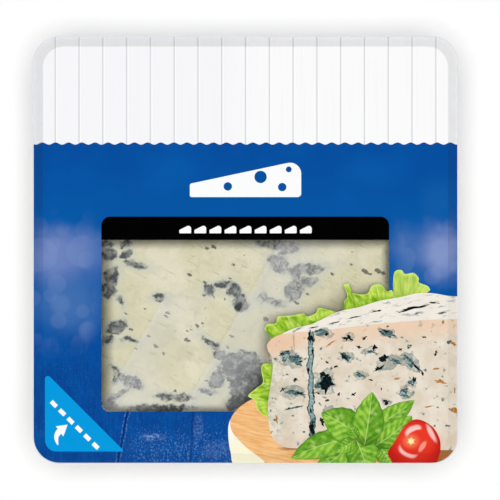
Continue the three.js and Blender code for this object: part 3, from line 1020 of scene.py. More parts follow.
HOLLOWS = (
    (24.8, -40.6, 1.75, 2.0, -25), (24.2, -38.4, 1.2, 0.8, 0), (31.2, -26.8, 1.15, 0.75, -10),
    (34.5, -29.6, 0.85, 0.35, -15), (39.3, -29.8, 0.55, 0.75, -30), (30.0, -32.4, 0.9, 0.6, -40),
    (42.6, -33.0, 1.5, 0.75, 5), (40.7, -36.1, 1.2, 0.55, 25), (58.2, -31.4, 0.4, 0.85, -15),
    (43.0, -46.3, 0.95, 0.5, 10), (24.3, -49.7, 0.8, 0.6, 0), (23.5, -52.3, 0.5, 1.0, 15),
    (16.3, -43.6, 1.1, 0.38, 12), (11.3, -42.6, 0.8, 0.5, 35), (10.9, -31.9, 0.75, 0.3, 30),
    (51.3, -39.9, 0.5, 0.9, -15), (24.9, -45.8, 0.45, 0.35, 0), (22.2, -43.7, 1.2, 0.3, -20),
    (13.2, -48.3, 0.8, 0.2, 15), (17.0, -34.0, 0.6, 0.25, 25), (42.6, -24.7, 1.4, 0.3, -12),
    (24.7, -25.7, 0.6, 0.4, 0), (52.0, -35.6, 1.3, 0.3, -42), (54.0, -37.7, 0.5, 0.35, -45),
    (15.1, -39.5, 0.6, 0.25, 0), (24.9, -34.2, 0.4, 0.3, 0), (38.2, -39.6, 0.5, 0.3, 0),
    (41.4, -42.4, 0.3, 0.25, 0), (19.7, -26.4, 0.7, 1.4, 5), (20.6, -30.6, 0.35, 0.9, 0),
    (19.2, -36.6, 0.3, 0.9, 0), (20.7, -43.6, 0.35, 1.1, 0), (20.4, -54.4, 0.8, 2.2, 5),
    (19.9, -49.0, 0.35, 0.9, 0), (27.6, -35.6, 0.5, 0.4, 0), (36.2, -26.8, 0.6, 0.35, 30),
    (28.4, -44.2, 0.4, 0.5, 0), (33.0, -44.0, 0.6, 0.35, 20), (47.2, -30.4, 0.5, 0.3, 0),
    (54.6, -26.6, 0.6, 0.3, -20), (52.0, -17.6, 3.8, 0.34, 12), (47.4, -18.9, 1.6, 0.22, 8),
    (40.2, -18.6, 1.4, 0.2, 10), (33.0, -20.6, 1.8, 0.18, 12), (27.2, -22.2, 1.7, 0.18, 14),
    (57.6, -16.0, 1.6, 0.22, -6), (59.8, -19.2, 1.1, 0.18, 4), (21.0, -23.6, 1.4, 0.15, 10),
)
BROWNS = (
    (59.7, -40.2, 1.5, 0.5, -15), (63.3, -49.0, 1.2, 0.7, -35), (63.6, -28.7, 0.6, 0.6, 0),
    (46.3, -39.2, 0.8, 0.28, 5), (55.9, -47.8, 1.1, 0.22, 8), (63.8, -43.0, 0.22, 0.7, 0),
    (57.6, -53.7, 0.4, 0.3, 0), (9.5, -52.0, 0.3, 1.6, 5), (26.2, -28.4, 1.6, 0.2, 35),
    (14.8, -28.0, 0.12, 1.9, 3), (58.2, -36.2, 0.9, 0.2, 5), (58.0, -28.2, 0.3, 0.2, 0),
)


def vein_tint(name, first, second):
    finish = Finish(name)
    cloud = finish.noise(finish.place(), 0.6 * MM, 3, 0.6)
    return finish.print_surface(finish.mix(finish.fade(cloud, 0.35, 0.65), first, second))


def blush_tint():
    """A blush is half clear, so that the paste shows through it."""
    finish = Finish("vein_blush")
    cloud = finish.noise(finish.place(), 1.5 * MM, 3, 0.6)
    cover = finish.fade(cloud, 0.3, 0.7) * 0.34 + 0.04
    return finish.print_surface(ink(160, 178, 174), alpha=cover)


def keep_veins(name, outlines, layer, tint):
    """One kind of vein, so many layers above the cheese. Its ovals lie a hair apart, where they overlap."""
    keep_print(patches(name, outlines, vein_height + layer * LAYER, INK / 40), tint)


vein_height = face_height + 2 * LAYER
LONG_CRACK = ((19.9, -24.9), (20.1, -27.2), (19.7, -29.6), (20.0, -33.0), (19.5, -36.4), (20.3, -39.6),
              (19.7, -42.4), (20.2, -45.6), (19.8, -48.6), (20.6, -51.4), (20.3, -54.6), (20.2, -57.8))
crack_walls = stroke(LONG_CRACK, 1.75, 0.6)
crack_heart = stroke(LONG_CRACK[:-2], 1.0, 0.9)  # it stops short of the crack's lower end
blushes = [pictured(blob(*spot, ragged=0.35)) for spot in BLUSHES]
walls = [crack_walls] + [blob(*spot, ragged=0.55) for spot in TEAL]
hearts = [crack_heart] + [blob(*spot, ragged=0.4) for spot in PALE_HEARTS]
hollows = [blob(*spot, ragged=0.7, steps=26) for spot in HOLLOWS]
browns = [pictured(blob(*spot, ragged=0.6)) for spot in BROWNS]
keep_veins("vein_blushes", blushes, 0, blush_tint())
keep_veins("vein_walls", walls, 1, vein_tint("vein_teal", ink(34, 62, 66), ink(112, 138, 138)))
keep_veins("vein_hearts", hearts, 2, vein_tint("vein_heart", ink(108, 138, 142), ink(172, 190, 188)))
keep_veins("vein_hollows", hollows, 3, vein_tint("vein_black", ink(2, 9, 11), ink(20, 36, 38)))
keep_veins("brown_specks", browns, 4, vein_tint("speck_brown", ink(150, 96, 40), ink(208, 150, 82)))
print("pictured veins:", len(BLUSHES) + len(TEAL) + len(PALE_HEARTS) + len(HOLLOWS) + len(BROWNS))

# %% [markdown]
# ## Basil
# A basil leaf is an oval drawn to a point along a bent midrib. It is stretched between its left and right
# edges, so the leaf's own map gives the midrib, the side veins and the lighter half. Leaves that reach past
# the print are bisected at its edge, which leaves them closed.

# %% Basil
def basil_green():
    finish = Finish("basil_green")
    own = finish.own_map()
    across = finish.axis(own, "X")
    along = finish.axis(own, "Y")
    side = abs(across - 0.5) * 2
    wavy = finish.shaken(own, 0.5, 0.12)
    slant = finish.axis(wavy, "Y") * 6.5 - abs(finish.axis(wavy, "X") - 0.5) * 3.4
    ribs = abs(slant.fraction() - 0.5)
    rib_line = finish.fade(ribs, 0.09, 0.0)
    puff = finish.fade(ribs, 0.02, 0.5)
    cloud = finish.noise(finish.place(), 2.2 * MM, 3)
    plump = puff * 0.35 + finish.fade(cloud, 0.3, 0.7) * 0.65
    colour = finish.mix(plump, ink(86, 154, 30), ink(164, 214, 76))
    colour = finish.mix(finish.fade(across, 0.44, 0.58) * 0.45, colour, ink(56, 128, 12))
    shine = finish.noise(finish.longer(own, (0.45, 0.2, 1)), 1.0, 2)
    colour = finish.mix(finish.fade(shine, 0.54, 0.74) * 0.65, colour, ink(188, 218, 126))
    colour = finish.mix(rib_line * finish.fade(side, 0.95, 0.4) * 0.4, colour, ink(50, 116, 16))
    lit_streak = finish.fade(ribs, 0.3, 0.46) * finish.fade(side, 0.96, 0.6) * finish.fade(cloud, 0.4, 0.6)
    colour = finish.mix(lit_streak * 0.4, colour, ink(186, 224, 104))
    colour = finish.mix(finish.fade(side, 0.8, 1.0) * 0.6, colour, ink(46, 108, 16))
    colour = finish.mix(finish.fade(along, 0.3, 0.0) * 0.75, colour, ink(34, 86, 10))
    return finish.print_surface(finish.mix(finish.fade(side, 0.06, 0.02) * 0.7, colour, ink(190, 222, 124)))


LEAF_STEPS = 24


def leaf(name, base, tip, wide, bend, height):
    """A pointed leaf, in millimetres. Bend moves its middle aside by a share of its length."""
    base, tip = Vector(base), Vector(tip)
    run = tip - base
    side = Vector((-run.y, run.x)).normalized()
    middle = (base + tip) / 2 + side * run.length * bend
    left, right = [], []
    for step in range(LEAF_STEPS + 1):
        t = step / LEAF_STEPS
        spot = base * (1 - t) ** 2 + middle * 2 * t * (1 - t) + tip * t * t
        way = (middle - base) * (1 - t) + (tip - middle) * t
        out = Vector((-way.y, way.x)).normalized()
        half = wide / 2 * (math.sin(math.pi * t**0.82) ** 0.85 + 0.02) * (1 + 0.03 * math.sin(t * 40))
        left.append(tuple((spot + out * half) * MM))
        right.append(tuple((spot - out * half) * MM))
    return between(name, left, right, height)


# Each leaf is its base, its tip, its width and its bend, from the lowest to the uppermost.
BASIL = (
    ((33.4, -58.8), (20.5, -68.0), 7.0, 0.05), ((34.5, -58.8), (44.5, -60.8), 5.6, 0.0),
    ((41.0, -59.8), (44.6, -66.2), 6.0, 0.05), ((38.0, -54.6), (51.5, -45.8), 6.4, -0.06),
    ((39.4, -59.8), (50.8, -50.6), 7.4, -0.08), ((33.6, -57.4), (14.0, -63.6), 8.2, -0.1),
    ((33.6, -57.4), (37.4, -68.5), 9.6, 0.05), ((35.0, -57.4), (23.2, -49.8), 10.4, -0.1),
    ((36.2, -60.0), (38.6, -43.4), 9.6, -0.02), ((33.6, -57.6), (27.2, -61.6), 4.6, 0.1),
    ((34.4, -57.6), (31.4, -52.6), 3.6, 0.1),
)
basil_height = vein_height + 6 * LAYER
leaves = [leaf(f"basil_{i}", *spot, basil_height + i * LAYER / 2) for i, spot in enumerate(BASIL)]
basil = joined("basil", leaves)
edit(basil)
bpy.ops.mesh.bisect(plane_co=(0, print_low, 0), plane_no=(0, -1, 0), use_fill=True, clear_outer=True)
bpy.ops.object.mode_set(mode="OBJECT")
keep_print(basil, basil_green())
print("basil leaves:", len(BASIL))

# %% [markdown]
# ## Tomato
# A tomato is glossy, so it mirrors the lamps as bright crescents. Its roundness and its lights are painted by
# how far a place is from a few centres, and a crescent is one oval with another one taken out of it.

# %% Tomato
STAR_X, STAR_Y = 50.5, -58.3


def tomato_red():
    finish = Finish("tomato_red")
    place = finish.place()
    body = finish.oval(place, (51.7, -58.6), (8.2, 8.0))
    colour = finish.mix(finish.fade(body, 0.5, 1.05), ink(236, 58, 38), ink(188, 22, 20))
    low = finish.fade(finish.axis(place, "Y"), -57 * MM, -64 * MM)
    colour = finish.mix(low * 0.5, colour, ink(206, 34, 26))
    glow = finish.oval(place, (STAR_X, STAR_Y), (3.4, 3.0))
    colour = finish.mix(finish.fade(glow, 1.0, 0.3) * 0.6, colour, ink(252, 142, 96))
    soft = finish.shaken(place, 2.5 * MM, 0.5 * MM)
    upper = finish.oval(soft, (51.2, -55.2), (3.1, 1.9), 28)
    upper_cut = finish.oval(soft, (52.4, -56.5), (3.3, 1.7), 16)
    light = finish.fade(upper, 1.0, 0.6) * finish.fade(upper_cut, 0.8, 1.1)
    colour = finish.mix(light * 0.85, colour, ink(255, 214, 204))
    lower = finish.oval(soft, (49.6, -61.2), (3.6, 2.3), -28)
    lower_cut = finish.oval(soft, (50.4, -60.1), (3.6, 2.2), -24)
    light = finish.fade(lower, 1.0, 0.65) * finish.fade(lower_cut, 0.85, 1.1)
    colour = finish.mix(light * 0.85, colour, ink(255, 206, 196))
    right = finish.oval(soft, (54.0, -60.0), (1.0, 2.4), -32)
    colour = finish.mix(finish.fade(right, 1.0, 0.5) * 0.7, colour, ink(254, 172, 152))
    rim_light = finish.oval(soft, (56.7, -55.9), (1.0, 3.9), 29)
    colour = finish.mix(finish.fade(rim_light, 1.0, 0.4) * 0.8, colour, ink(255, 214, 206))
    return finish.print_surface(colour)


def calyx_tint():
    finish = Finish("calyx_tint")
    place = finish.place()
    away = finish.oval(place, (STAR_X, STAR_Y), (1.5, 1.5))
    cloud = finish.noise(place, 0.5 * MM, 2)
    colour = finish.mix(finish.fade(away, 0.3, 0.9), ink(255, 246, 190), ink(244, 150, 60))
    return finish.print_surface(finish.mix(cloud * 0.3, colour, ink(250, 205, 80)))


tomato_outline = smooth([(43.5, -61.4), (45.4, -58.6), (47.6, -55.0), (49.8, -52.5), (52.4, -51.7),
                         (55.2, -52.6), (57.6, -54.6), (59.2, -57.6), (59.5, -60.6), (58.8, -63.6),
                         (57.2, -66.5), (46.2, -66.5), (44.6, -64.4), (43.6, -62.8)])
STAR_POINTS = 6
STAR_LONG, STAR_SHORT = 1.45, 0.8
STAR_TURN = 0.4
star = []
for i in range(STAR_POINTS * 2):
    reach = STAR_LONG if i % 2 == 0 else STAR_SHORT
    turn = math.pi * i / STAR_POINTS + STAR_TURN
    star.append((STAR_X + reach * math.cos(turn), STAR_Y + reach * math.sin(turn)))
tomato_height = basil_height + 6 * LAYER
keep_print(patches("tomato", [pictured(tomato_outline)], tomato_height), tomato_red())
keep_print(patches("tomato_star", [metres(star)], tomato_height + LAYER), calyx_tint())

# %% [markdown]
# ## The seal
# The film is welded to the flange all round, and the weld shows as a slightly darker frame over everything
# printed there. It is a clear smoky ring laid over the print, weaker beside the picture, whose own colours
# hide it.

# %% Seal band
def seal_shade():
    finish = Finish("seal_shade")
    place = finish.place()
    cloud = finish.noise(place, 2 * MM)
    over_picture = finish.fade(finish.axis(place, "Y"), 4 * MM, -14 * MM)
    cover = (0.04 + cloud * 0.025) * (1 - over_picture * 0.55)
    return finish.print_surface((0.02, 0.022, 0.026), alpha=cover)


SEAL = 3.2 * MM
seal_corners = [LID_CORNER - SEAL * 0.6] * 4
seal_height = tomato_height + 2 * LAYER
seal_inner = box_outline(lid_left + SEAL, lid_right - SEAL, lid_low + SEAL, lid_high - SEAL, seal_corners)
keep_print(sheet("seal_band", [print_outline, seal_inner], seal_height), seal_shade())

# %% [markdown]
# Outside the print the film is bare, and its cut edge catches the light as a thin pale line.

# %% Cut edge of the film
def cut_edge():
    finish = Finish("cut_edge")
    cloud = finish.noise(finish.place(), 3 * MM)
    return finish.surface(ink(238, 242, 247), 0.3, alpha=0.8 + cloud * 0.15)


keep_print(sheet("film_edge", [lid_outline, print_outline], seal_height), cut_edge())
print("print stack in mm:", round((seal_height - base_height) / MM, 2))

# %% [markdown]
# ## The wedge of cheese
# The wedge is a slice of a drum: two flat cuts that meet near the drum's axis, the curved rind behind, and
# the drum's two flat ends. It is drawn as its side profile, extruded along the axis, and bevelled. Real paste
# has no even surface, so the block is remeshed into small even faces, and hollows are pressed into it where
# the mould grew.

# %% Wedge block
cheese_low, cheese_high = (Vector(corner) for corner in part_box("cheese_wedge"))
CUT_ANGLE = math.radians(16)
DRUM_RADIUS = 102 * MM
TIP_RUN = 14.2 * MM
CHEESE_ROUND = 1.5 * MM
CHEESE_GRAIN = 0.75 * MM
drum_axis = Vector((0, cheese_low.y + DRUM_RADIUS, cheese_high.z))


def wedge_profile():
    """The wedge seen along the drum's axis, as (y, z) places."""
    arc = [CUT_ANGLE * step / ARC_STEPS for step in range(ARC_STEPS + 1)]
    places = [(-DRUM_RADIUS * math.cos(turn), -DRUM_RADIUS * math.sin(turn)) for turn in arc]
    places.append((-TIP_RUN * math.cos(CUT_ANGLE), -TIP_RUN * math.sin(CUT_ANGLE)))
    places.append((-TIP_RUN, 0))
    return [(drum_axis.y + y, drum_axis.z + z) for y, z in places]


profile = wedge_profile()
mesh = bpy.data.meshes.new("cheese")
mesh.from_pydata([(cheese_low.x, y, z) for y, z in profile], [], [list(range(len(profile)))])
cheese = bpy.data.objects.new("cheese", mesh)
scene.collection.objects.link(cheese)
edit(cheese)
bpy.ops.mesh.extrude_region_move(TRANSFORM_OT_translate={"value": (cheese_high.x - cheese_low.x, 0, 0)})
bpy.ops.mesh.select_all(action="SELECT")
bpy.ops.mesh.normals_make_consistent(inside=False)
bpy.ops.object.mode_set(mode="OBJECT")
round_off = cheese.modifiers.new("rounding", "BEVEL")
round_off.width = CHEESE_ROUND
round_off.segments = 3
round_off.limit_method = "ANGLE"
round_off.angle_limit = math.radians(25)
bpy.ops.object.modifier_apply(modifier=round_off.name)
even = cheese.modifiers.new("even_faces", "REMESH")
even.mode = "VOXEL"
even.voxel_size = CHEESE_GRAIN
bpy.ops.object.modifier_apply(modifier=even.name)
print("cheese faces after remeshing:", len(cheese.data.polygons))

# %% [markdown]
# ## Where the mould grew
# Blue mould grows in the cracks and holes of the paste. Under the window its patches are listed one by one,
# as ragged ovals, so that the same list can press the hollows and colour them. Everywhere else noise decides.

# %% Mould places
# Each patch is x, y, half its width, half its height, in millimetres, and its turn in degrees.
PATCHES = (
    (-41.0, -8.2, 2.3, 3.2, -15), (-42.4, -12.2, 2.4, 2.2, 0), (-38.6, -15.2, 0.7, 1.6, 25),
    (-41.6, -1.2, 2.3, 1.4, 0), (-36.8, 2.0, 1.6, 1.1, 0), (-42.6, 1.6, 1.6, 1.0, 0),
    (-36.4, -1.4, 1.5, 1.1, 30), (-33.7, -4.4, 2.7, 0.8, -12), (-26.5, -14.6, 1.6, 1.0, 0),
    (-11.2, -12.2, 1.7, 1.5, 0), (-7.0, -10.6, 2.0, 0.7, 12), (-3.6, -12.4, 2.2, 2.0, 0),
    (-1.6, -16.0, 2.2, 3.2, 20), (9.6, 1.6, 5.6, 1.3, -5), (13.6, 0.2, 3.0, 1.5, 10),
    (10.2, -3.8, 3.3, 2.4, -20), (18.2, -6.0, 5.4, 1.3, 4), (15.4, -8.0, 1.6, 2.2, 0),
    (14.8, -12.4, 2.6, 3.6, -25), (18.6, -10.2, 3.2, 1.7, 20), (5.4, -14.2, 1.1, 1.5, 20),
    (8.2, -16.0, 3.3, 1.0, -14), (-1.6, -36.4, 6.6, 5.4, 0), (1.6, -41.6, 6.6, 6.2, 0),
    (-8.6, -39.8, 2.6, 2.2, 20), (-10.4, -29.0, 2.8, 0.9, -38), (-7.6, -32.2, 2.2, 1.2, -40),
    (-2.0, -47.6, 3.8, 2.6, 0), (-39.6, -23.6, 3.2, 1.9, 28), (-42.6, -27.6, 2.0, 1.2, 20),
    (-35.4, -27.6, 1.6, 0.5, -5), (-40.2, -36.6, 1.5, 0.7, -30), (-40.0, -40.0, 0.8, 1.1, 0),
    (-34.6, -40.6, 3.0, 1.3, -18), (-38.0, -38.8, 1.6, 0.8, -30), (-39.8, -44.8, 3.6, 0.8, 28),
    (-42.0, -47.8, 2.6, 1.8, 0), (-21.8, -45.2, 4.8, 1.0, -4), (-26.0, -48.6, 9.0, 1.1, 0),
    (-11.4, -43.3, 1.7, 0.6, 0),
)
# Each speck is x, y and its size.
SPECKS = (
    (-17.1, -7.6, 0.6), (-23.9, -19.2, 0.6), (-24.4, -20.4, 0.55), (-17.8, -27.6, 0.75), (-27.5, -29.5, 0.6),
    (-14.8, -23.3, 0.5), (-13.2, -22.6, 0.4), (-29.6, -26.4, 0.45), (-4.2, -26.4, 0.55), (-25.2, -31.8, 0.4),
    (-12.4, -10.0, 0.5), (-12.8, -13.8, 0.5), (-9.8, -14.4, 0.35), (-4.8, -8.6, 0.35), (-6.4, -15.0, 0.35),
    (-3.8, -4.6, 0.45), (-9.8, 1.0, 0.7), (-11.8, 0.6, 0.5), (6.2, -21.2, 0.7), (36.6, -6.6, 0.8),
    (38.0, -7.4, 0.6), (40.6, -6.4, 0.9), (42.2, -7.0, 0.6), (26.6, -7.4, 0.55), (15.6, -16.2, 0.6),
    (19.0, -13.6, 0.45), (32.4, -4.4, 0.4), (-36.8, -19.4, 0.4), (-30.8, -18.0, 0.35), (-16.6, -24.4, 0.3),
    (-17.8, -24.8, 0.35), (-5.6, -29.8, 0.45), (-8.2, -37.2, 0.5), (-12.0, -40.2, 0.45), (-21.6, -43.2, 0.4),
    (-33.6, -30.2, 0.35), (-35.2, -24.4, 0.5),
)


def patch_depth(spot):
    """How deep the paste is pressed in at a place on the upper cut face, from 0 to 1."""
    deepest = 0.0
    for x, y, wide, high, turn in PATCHES:
        dx, dy = spot.x / MM - x, spot.y / MM - y
        if abs(dx) + abs(dy) > 1.5 * (wide + high):
            continue
        turn = math.radians(turn)
        across = (dx * math.cos(turn) + dy * math.sin(turn)) / wide
        along = (dy * math.cos(turn) - dx * math.sin(turn)) / high
        deepest = max(deepest, 1 - math.hypot(across, along))
    return min(1.0, deepest * 1.6) * (0.55 + 0.6 * noise.noise(spot / (1.1 * MM)))


def wild_depth(spot):
    """The same away from the window: where two broad noises agree."""
    place = spot / (6.5 * MM)
    vein = 1 - abs(noise.noise(place + Vector((3.1, 0, 7.7)))) * 7
    where = noise.noise(place * 0.45 + Vector((0, 9.2, 0))) * 2.4 + 0.25
    fleck = (noise.noise(spot / (2.2 * MM)) - 0.42) * 6
    return max(0.0, min(1.0, max(vein * max(0.0, where), fleck)))


PIT = 1.1 * MM  # the deepest hollow
RIND = 1.2 * MM  # how far in the firm crust reaches
mould = cheese.data.attributes.new("mould", "FLOAT", "POINT")
levels = []
# The directions are read before the loop, because each move changes the ones beside it.
outward = [vertex.normal.copy() for vertex in cheese.data.vertices]
for vertex, normal in zip(cheese.data.vertices, outward):
    spot = vertex.co.copy()
    in_view = spot.z > cheese_high.z - 1.0 * MM and spot.y < WINDOW_HIGH + 3 * MM
    from_axis = (spot - drum_axis).yz.length
    on_rind = abs(spot.x) > cheese_high.x - RIND or from_axis > DRUM_RADIUS - RIND
    depth = max(0.0, patch_depth(spot)) if in_view else wild_depth(spot) * (0.15 if on_rind else 1.0)
    levels.append(0.0 if in_view else depth)
    crumb = noise.noise(spot / (1.4 * MM)) * 0.12 + noise.noise(spot / (5 * MM)) * 0.16
    vertex.co += normal * (crumb * MM - depth * PIT)
mould.data.foreach_set("value", levels)
choose(cheese)
bpy.ops.object.shade_smooth()
print("deepest mould level:", round(max(levels), 2), "patches:", len(PATCHES), "specks:", len(SPECKS))

# %% [markdown]
# ## Paste, mould and rind
# The paste is greenish ivory. A patch of mould has a pale bluish halo, a washed grey-blue middle, and a dark
# broken line at its edge. All three come from one number: how far a place is from the nearest patch's edge,
# in millimetres, on places shaken by noise so that the edge is ragged.

# %% Blue cheese finish
MILLIMETRES = (1000.0, 1000.0, 0.0)  # turns a place on the cut face into flat millimetres


def patch_edge(finish, flat, shaken):
    """How far a place is from the nearest patch's edge, in millimetres: below 0 inside a patch."""
    edge = None
    for x, y, wide, high, turn in PATCHES:
        least = min(wide, high)
        away = finish.ball(shaken, (x, y, 0), (wide, high, 1), math.radians(turn)) * least - least
        edge = away if edge is None else edge.least(away)
    return edge + (finish.noise(flat, 1.1, 4, 0.6) - 0.5) * 1.1


def speck_edge(finish, flat):
    """The same for the specks, which are slanting ovals."""
    dots = None
    jittered = finish.shaken(flat, 0.8, 1.3, 3)
    for x, y, radius in SPECKS:
        away = finish.ball(jittered, (x, y, 0), (1.35, 0.8, 1), math.radians(-25)) - radius
        dots = away if dots is None else dots.least(away)
    return dots


def bare_paste(finish, place, fine):
    """Greenish ivory in slow clouds, with dull areas, a fine grain and the wire's slanting scratches."""
    cloud = finish.noise(place, 13 * MM, 3)
    colour = finish.mix(finish.fade(cloud, 0.35, 0.65), ink(217, 212, 178), ink(229, 224, 198))
    dull = finish.noise(finish.shaken(place, 5 * MM, 4 * MM), 6 * MM, 4, 0.6)
    colour = finish.mix(finish.fade(dull, 0.48, 0.68) * 0.4, colour, ink(192, 189, 160))
    colour = finish.mix(finish.fade(fine, 0.5, 0.8) * 0.4, colour, ink(186, 184, 156))
    scratch = finish.noise(finish.longer(place, (9, 1, 1), math.radians(-27)), 0.7 * MM, 2)
    return finish.mix(finish.fade(scratch, 0.64, 0.72) * 0.45, colour, ink(156, 152, 126))


def mould_middle(finish, place, flat, pale_side):
    """The washed grey-blue inside a patch: paler at the upper right, darker at the bottom, and darker at the
    upper left, partly the mould's own colour and partly painted shade beside the window's edge.
    """
    left = finish.fade(finish.axis(place, "X"), -33 * MM, -38 * MM)
    # Painted shade in part: the mould near the window's upper left edge is darkened where the print's edge
    # shades it.
    dark_and_shaded_side = left * finish.fade(finish.axis(place, "Y"), -34 * MM, -26 * MM)
    tone = finish.fade(finish.noise(flat, 2.4, 3, 0.55), 0.36, 0.62)
    middle = finish.mix(tone, ink(87, 92, 96), ink(144, 148, 146))
    middle = finish.mix(pale_side * 0.55, middle, finish.mix(tone, ink(138, 142, 142), ink(186, 188, 178)))
    low = finish.fade(finish.ball(flat, (0.5, -42.0, 0), (8, 9, 1)), 1.1, 0.5)
    middle = finish.mix(low * 0.7, middle, finish.mix(tone, ink(70, 74, 84), ink(120, 122, 128)))
    return finish.mix(dark_and_shaded_side * 0.5, middle, finish.mix(tone, ink(62, 68, 72), ink(126, 132, 124)))


def mould_lines(finish, flat, edge, wash, in_view, pale_side, colour):
    """What is darkest in a patch: the broken line at its edge, its hearts, and fine cracks."""
    rough_line = finish.noise(flat, 1.7, 3, 0.6)
    line = finish.fade(abs(edge + 0.15), 0.6, 0.08) * finish.fade(rough_line, 0.46, 0.58) * in_view
    colour = finish.mix(line * (0.9 - pale_side * 0.3), colour, ink(62, 67, 73))
    hearts = finish.noise(finish.shaken(flat, 2.6, 2.2, 3), 3.4, 3, 0.55)
    hearts = finish.fade(hearts, 0.52, 0.6) * wash
    colour = finish.mix(hearts * (0.85 - pale_side * 0.4), colour, ink(66, 72, 80))
    crack = abs(finish.noise(finish.shaken(flat, 2.4, 1.6, 3), 4.6, 1, 0.5) - 0.5)
    return finish.mix(finish.fade(crack, 0.02, 0.004) * wash * 0.7, colour, ink(52, 58, 66))


def rind_crust(finish, place, fine, medium):
    """A pale crust with grey-blue blotches, a warm tinge here and there, and a light bloom on its grain."""
    blotch = finish.noise(finish.shaken(place, 4 * MM, 3 * MM), 4.2 * MM, 4, 0.65)
    crust = finish.mix(finish.fade(medium, 0.38, 0.64), ink(238, 229, 202), ink(216, 203, 170))
    crust = finish.mix(finish.fade(blotch, 0.5, 0.62) * 0.65, crust, ink(160, 168, 160))
    crust = finish.mix(finish.fade(blotch, 0.62, 0.7) * 0.75, crust, ink(104, 114, 116))
    warm = finish.noise(place, 11 * MM, 2)
    crust = finish.mix(finish.fade(warm, 0.5, 0.7) * 0.4, crust, ink(222, 192, 146))
    return finish.mix(finish.fade(fine, 0.58, 0.72) * 0.45, crust, ink(246, 240, 222))


def rind_share(finish, place):
    """1 on the drum's ends and on its curved side, and 0 in the paste."""
    from_axis = finish.ball(place, tuple(drum_axis), (1000.0, DRUM_RADIUS, DRUM_RADIUS))
    ends = finish.fade(abs(finish.axis(place, "X")), cheese_high.x - 2.6 * MM, cheese_high.x - 0.5 * MM)
    return ends.most(finish.fade(from_axis, 0.975, 0.996))


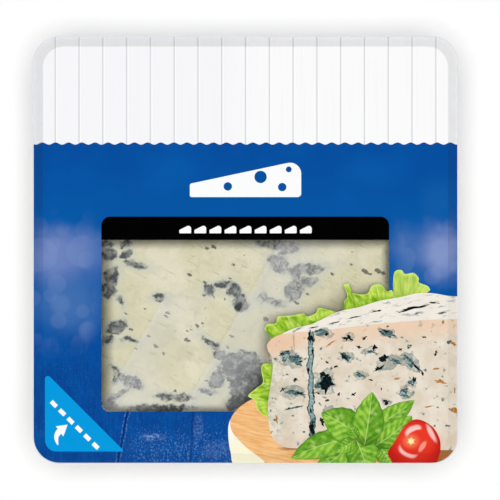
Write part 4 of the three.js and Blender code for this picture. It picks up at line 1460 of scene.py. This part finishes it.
def blue_cheese():
    finish = Finish("blue_cheese")
    place = finish.place()
    flat = finish.add("ShaderNodeVectorMath", {"operation": "MULTIPLY"}, {0: place, 1: MILLIMETRES})
    shaken = finish.shaken(finish.shaken(flat, 3.4, 3.2, 4), 0.9, 1.0, 4)
    edge = patch_edge(finish, flat, shaken)
    dots = speck_edge(finish, flat)
    along = finish.axis(place, "Y")
    in_view = finish.fade(finish.axis(place, "Z"), cheese_high.z - 2.2 * MM, cheese_high.z - 1.6 * MM)
    in_view = in_view * finish.fade(along, WINDOW_HIGH + 4 * MM, WINDOW_HIGH + 2 * MM)
    fine = finish.noise(place, 0.7 * MM, 3, 0.65)
    medium = finish.noise(place, 1.5 * MM, 4, 0.65)

    colour = bare_paste(finish, place, fine)
    halo = finish.fade(edge, 2.3, 0.2) * in_view
    colour = finish.mix(halo * 0.7, colour, ink(204, 206, 190))
    pale_side = finish.fade(finish.axis(place, "X"), 0, 4 * MM) * finish.fade(along, -21 * MM, -17 * MM)
    middle = mould_middle(finish, place, flat, pale_side)
    cover = finish.fade(finish.noise(flat, 2.0, 3, 0.6), 0.36, 0.52)
    wash = finish.fade(edge, 0.7, -0.5) * in_view
    colour = finish.mix(wash * (0.6 + cover * 0.38), colour, middle)
    colour = mould_lines(finish, flat, edge, wash, in_view, pale_side, colour)
    deep = finish.fade(finish.ball(shaken, (-1.9, -17.2, 0), (1.5, 2.2, 1), math.radians(15)), 1.1, 0.5)
    colour = finish.mix(deep * in_view * 0.9, colour, ink(36, 40, 46))
    colour = finish.mix(finish.fade(dots, 0.15, -0.15) * in_view * 0.85, colour, ink(74, 78, 78))
    tiny = finish.noise(place, 1.15 * MM, 2, 0.5)
    sparse = finish.fade(finish.noise(place, 9 * MM, 1), 0.46, 0.58)
    colour = finish.mix(finish.fade(tiny, 0.68, 0.74) * sparse * 0.7, colour, ink(112, 114, 106))

    grown = finish.add("ShaderNodeAttribute", {"attribute_name": "mould"}, {}, "Fac")
    colour = finish.mix(finish.fade(grown, 0.05, 0.35) * 0.8, colour, middle)
    colour = finish.mix(finish.fade(grown, 0.45, 0.75) * 0.85, colour, ink(92, 100, 116))
    rind = rind_share(finish, place)
    colour = finish.mix(rind * 0.92, colour, rind_crust(finish, place, fine, medium))
    relief = finish.bump(fine * 0.5 + medium * 0.5, 0.35 * MM, 0.5)
    roughness = 0.5 - wash * 0.1 + rind * 0.2
    return finish.surface(colour, roughness, normal=relief, subsurface_weight=0.06,
                          subsurface_radius=(0.004, 0.003, 0.0015), subsurface_scale=0.5)


keep(cheese, "cheese_wedge", blue_cheese())

# %% [markdown]
# ## The clear tray
# The tray is one sheet of clear plastic, drawn into a mould while hot. Seen square on it is almost not there,
# and it mirrors more the flatter one looks along it. Layer Weight gives that angle the same way from both
# sides of a wall.

# %% Clear plastic
def clear_plastic():
    finish = Finish("clear_plastic")
    place = finish.place()
    haze = finish.noise(place, 7 * MM, 2)
    flat_look = finish.add("ShaderNodeLayerWeight", {}, {"Blend": 0.5}, "Facing")
    body = finish.add("ShaderNodeBsdfPrincipled", {}, {
        "Base Color": finish.mix(haze, ink(232, 239, 242), ink(244, 248, 250)),
        "Roughness": 0.06 + haze * 0.05,
        "Normal": finish.bump(haze, 0.2 * MM, 0.3),
    })
    through = finish.add("ShaderNodeBsdfTransparent", {}, {"Color": (1.0, 1.0, 1.0)})
    amount = 0.035 + flat_look * flat_look * flat_look * 0.7 + haze * 0.02
    return finish.show(finish.add("ShaderNodeMixShader", {}, {0: amount, 1: through, 2: body}))


tray = bpy.data.objects["tray"]
tray.material_slots[0].material = clear_plastic()
print("tray faces:", len(tray.data.polygons))

# %% [markdown]
# ## The floor
# A plain pale floor, wide enough for every view.

# %% Floor
def floor_paper():
    finish = Finish("floor_paper")
    speckle = finish.noise(finish.place(), 3 * MM)
    return finish.surface(finish.mix(speckle, (0.985, 0.985, 0.985), (0.99, 0.99, 0.99)), 0.9)


FLOOR_SIZE = 6
FLOOR_DROP = 0.05 * MM  # just under the tray's foot ring, so that the two don't touch
bpy.ops.mesh.primitive_plane_add(size=FLOOR_SIZE, location=(0, 0, -FLOOR_DROP))
floor = bpy.context.object
floor.name = "floor"
floor.data.materials.append(floor_paper())
print("floor:", FLOOR_SIZE, "m square")

# %% [markdown]
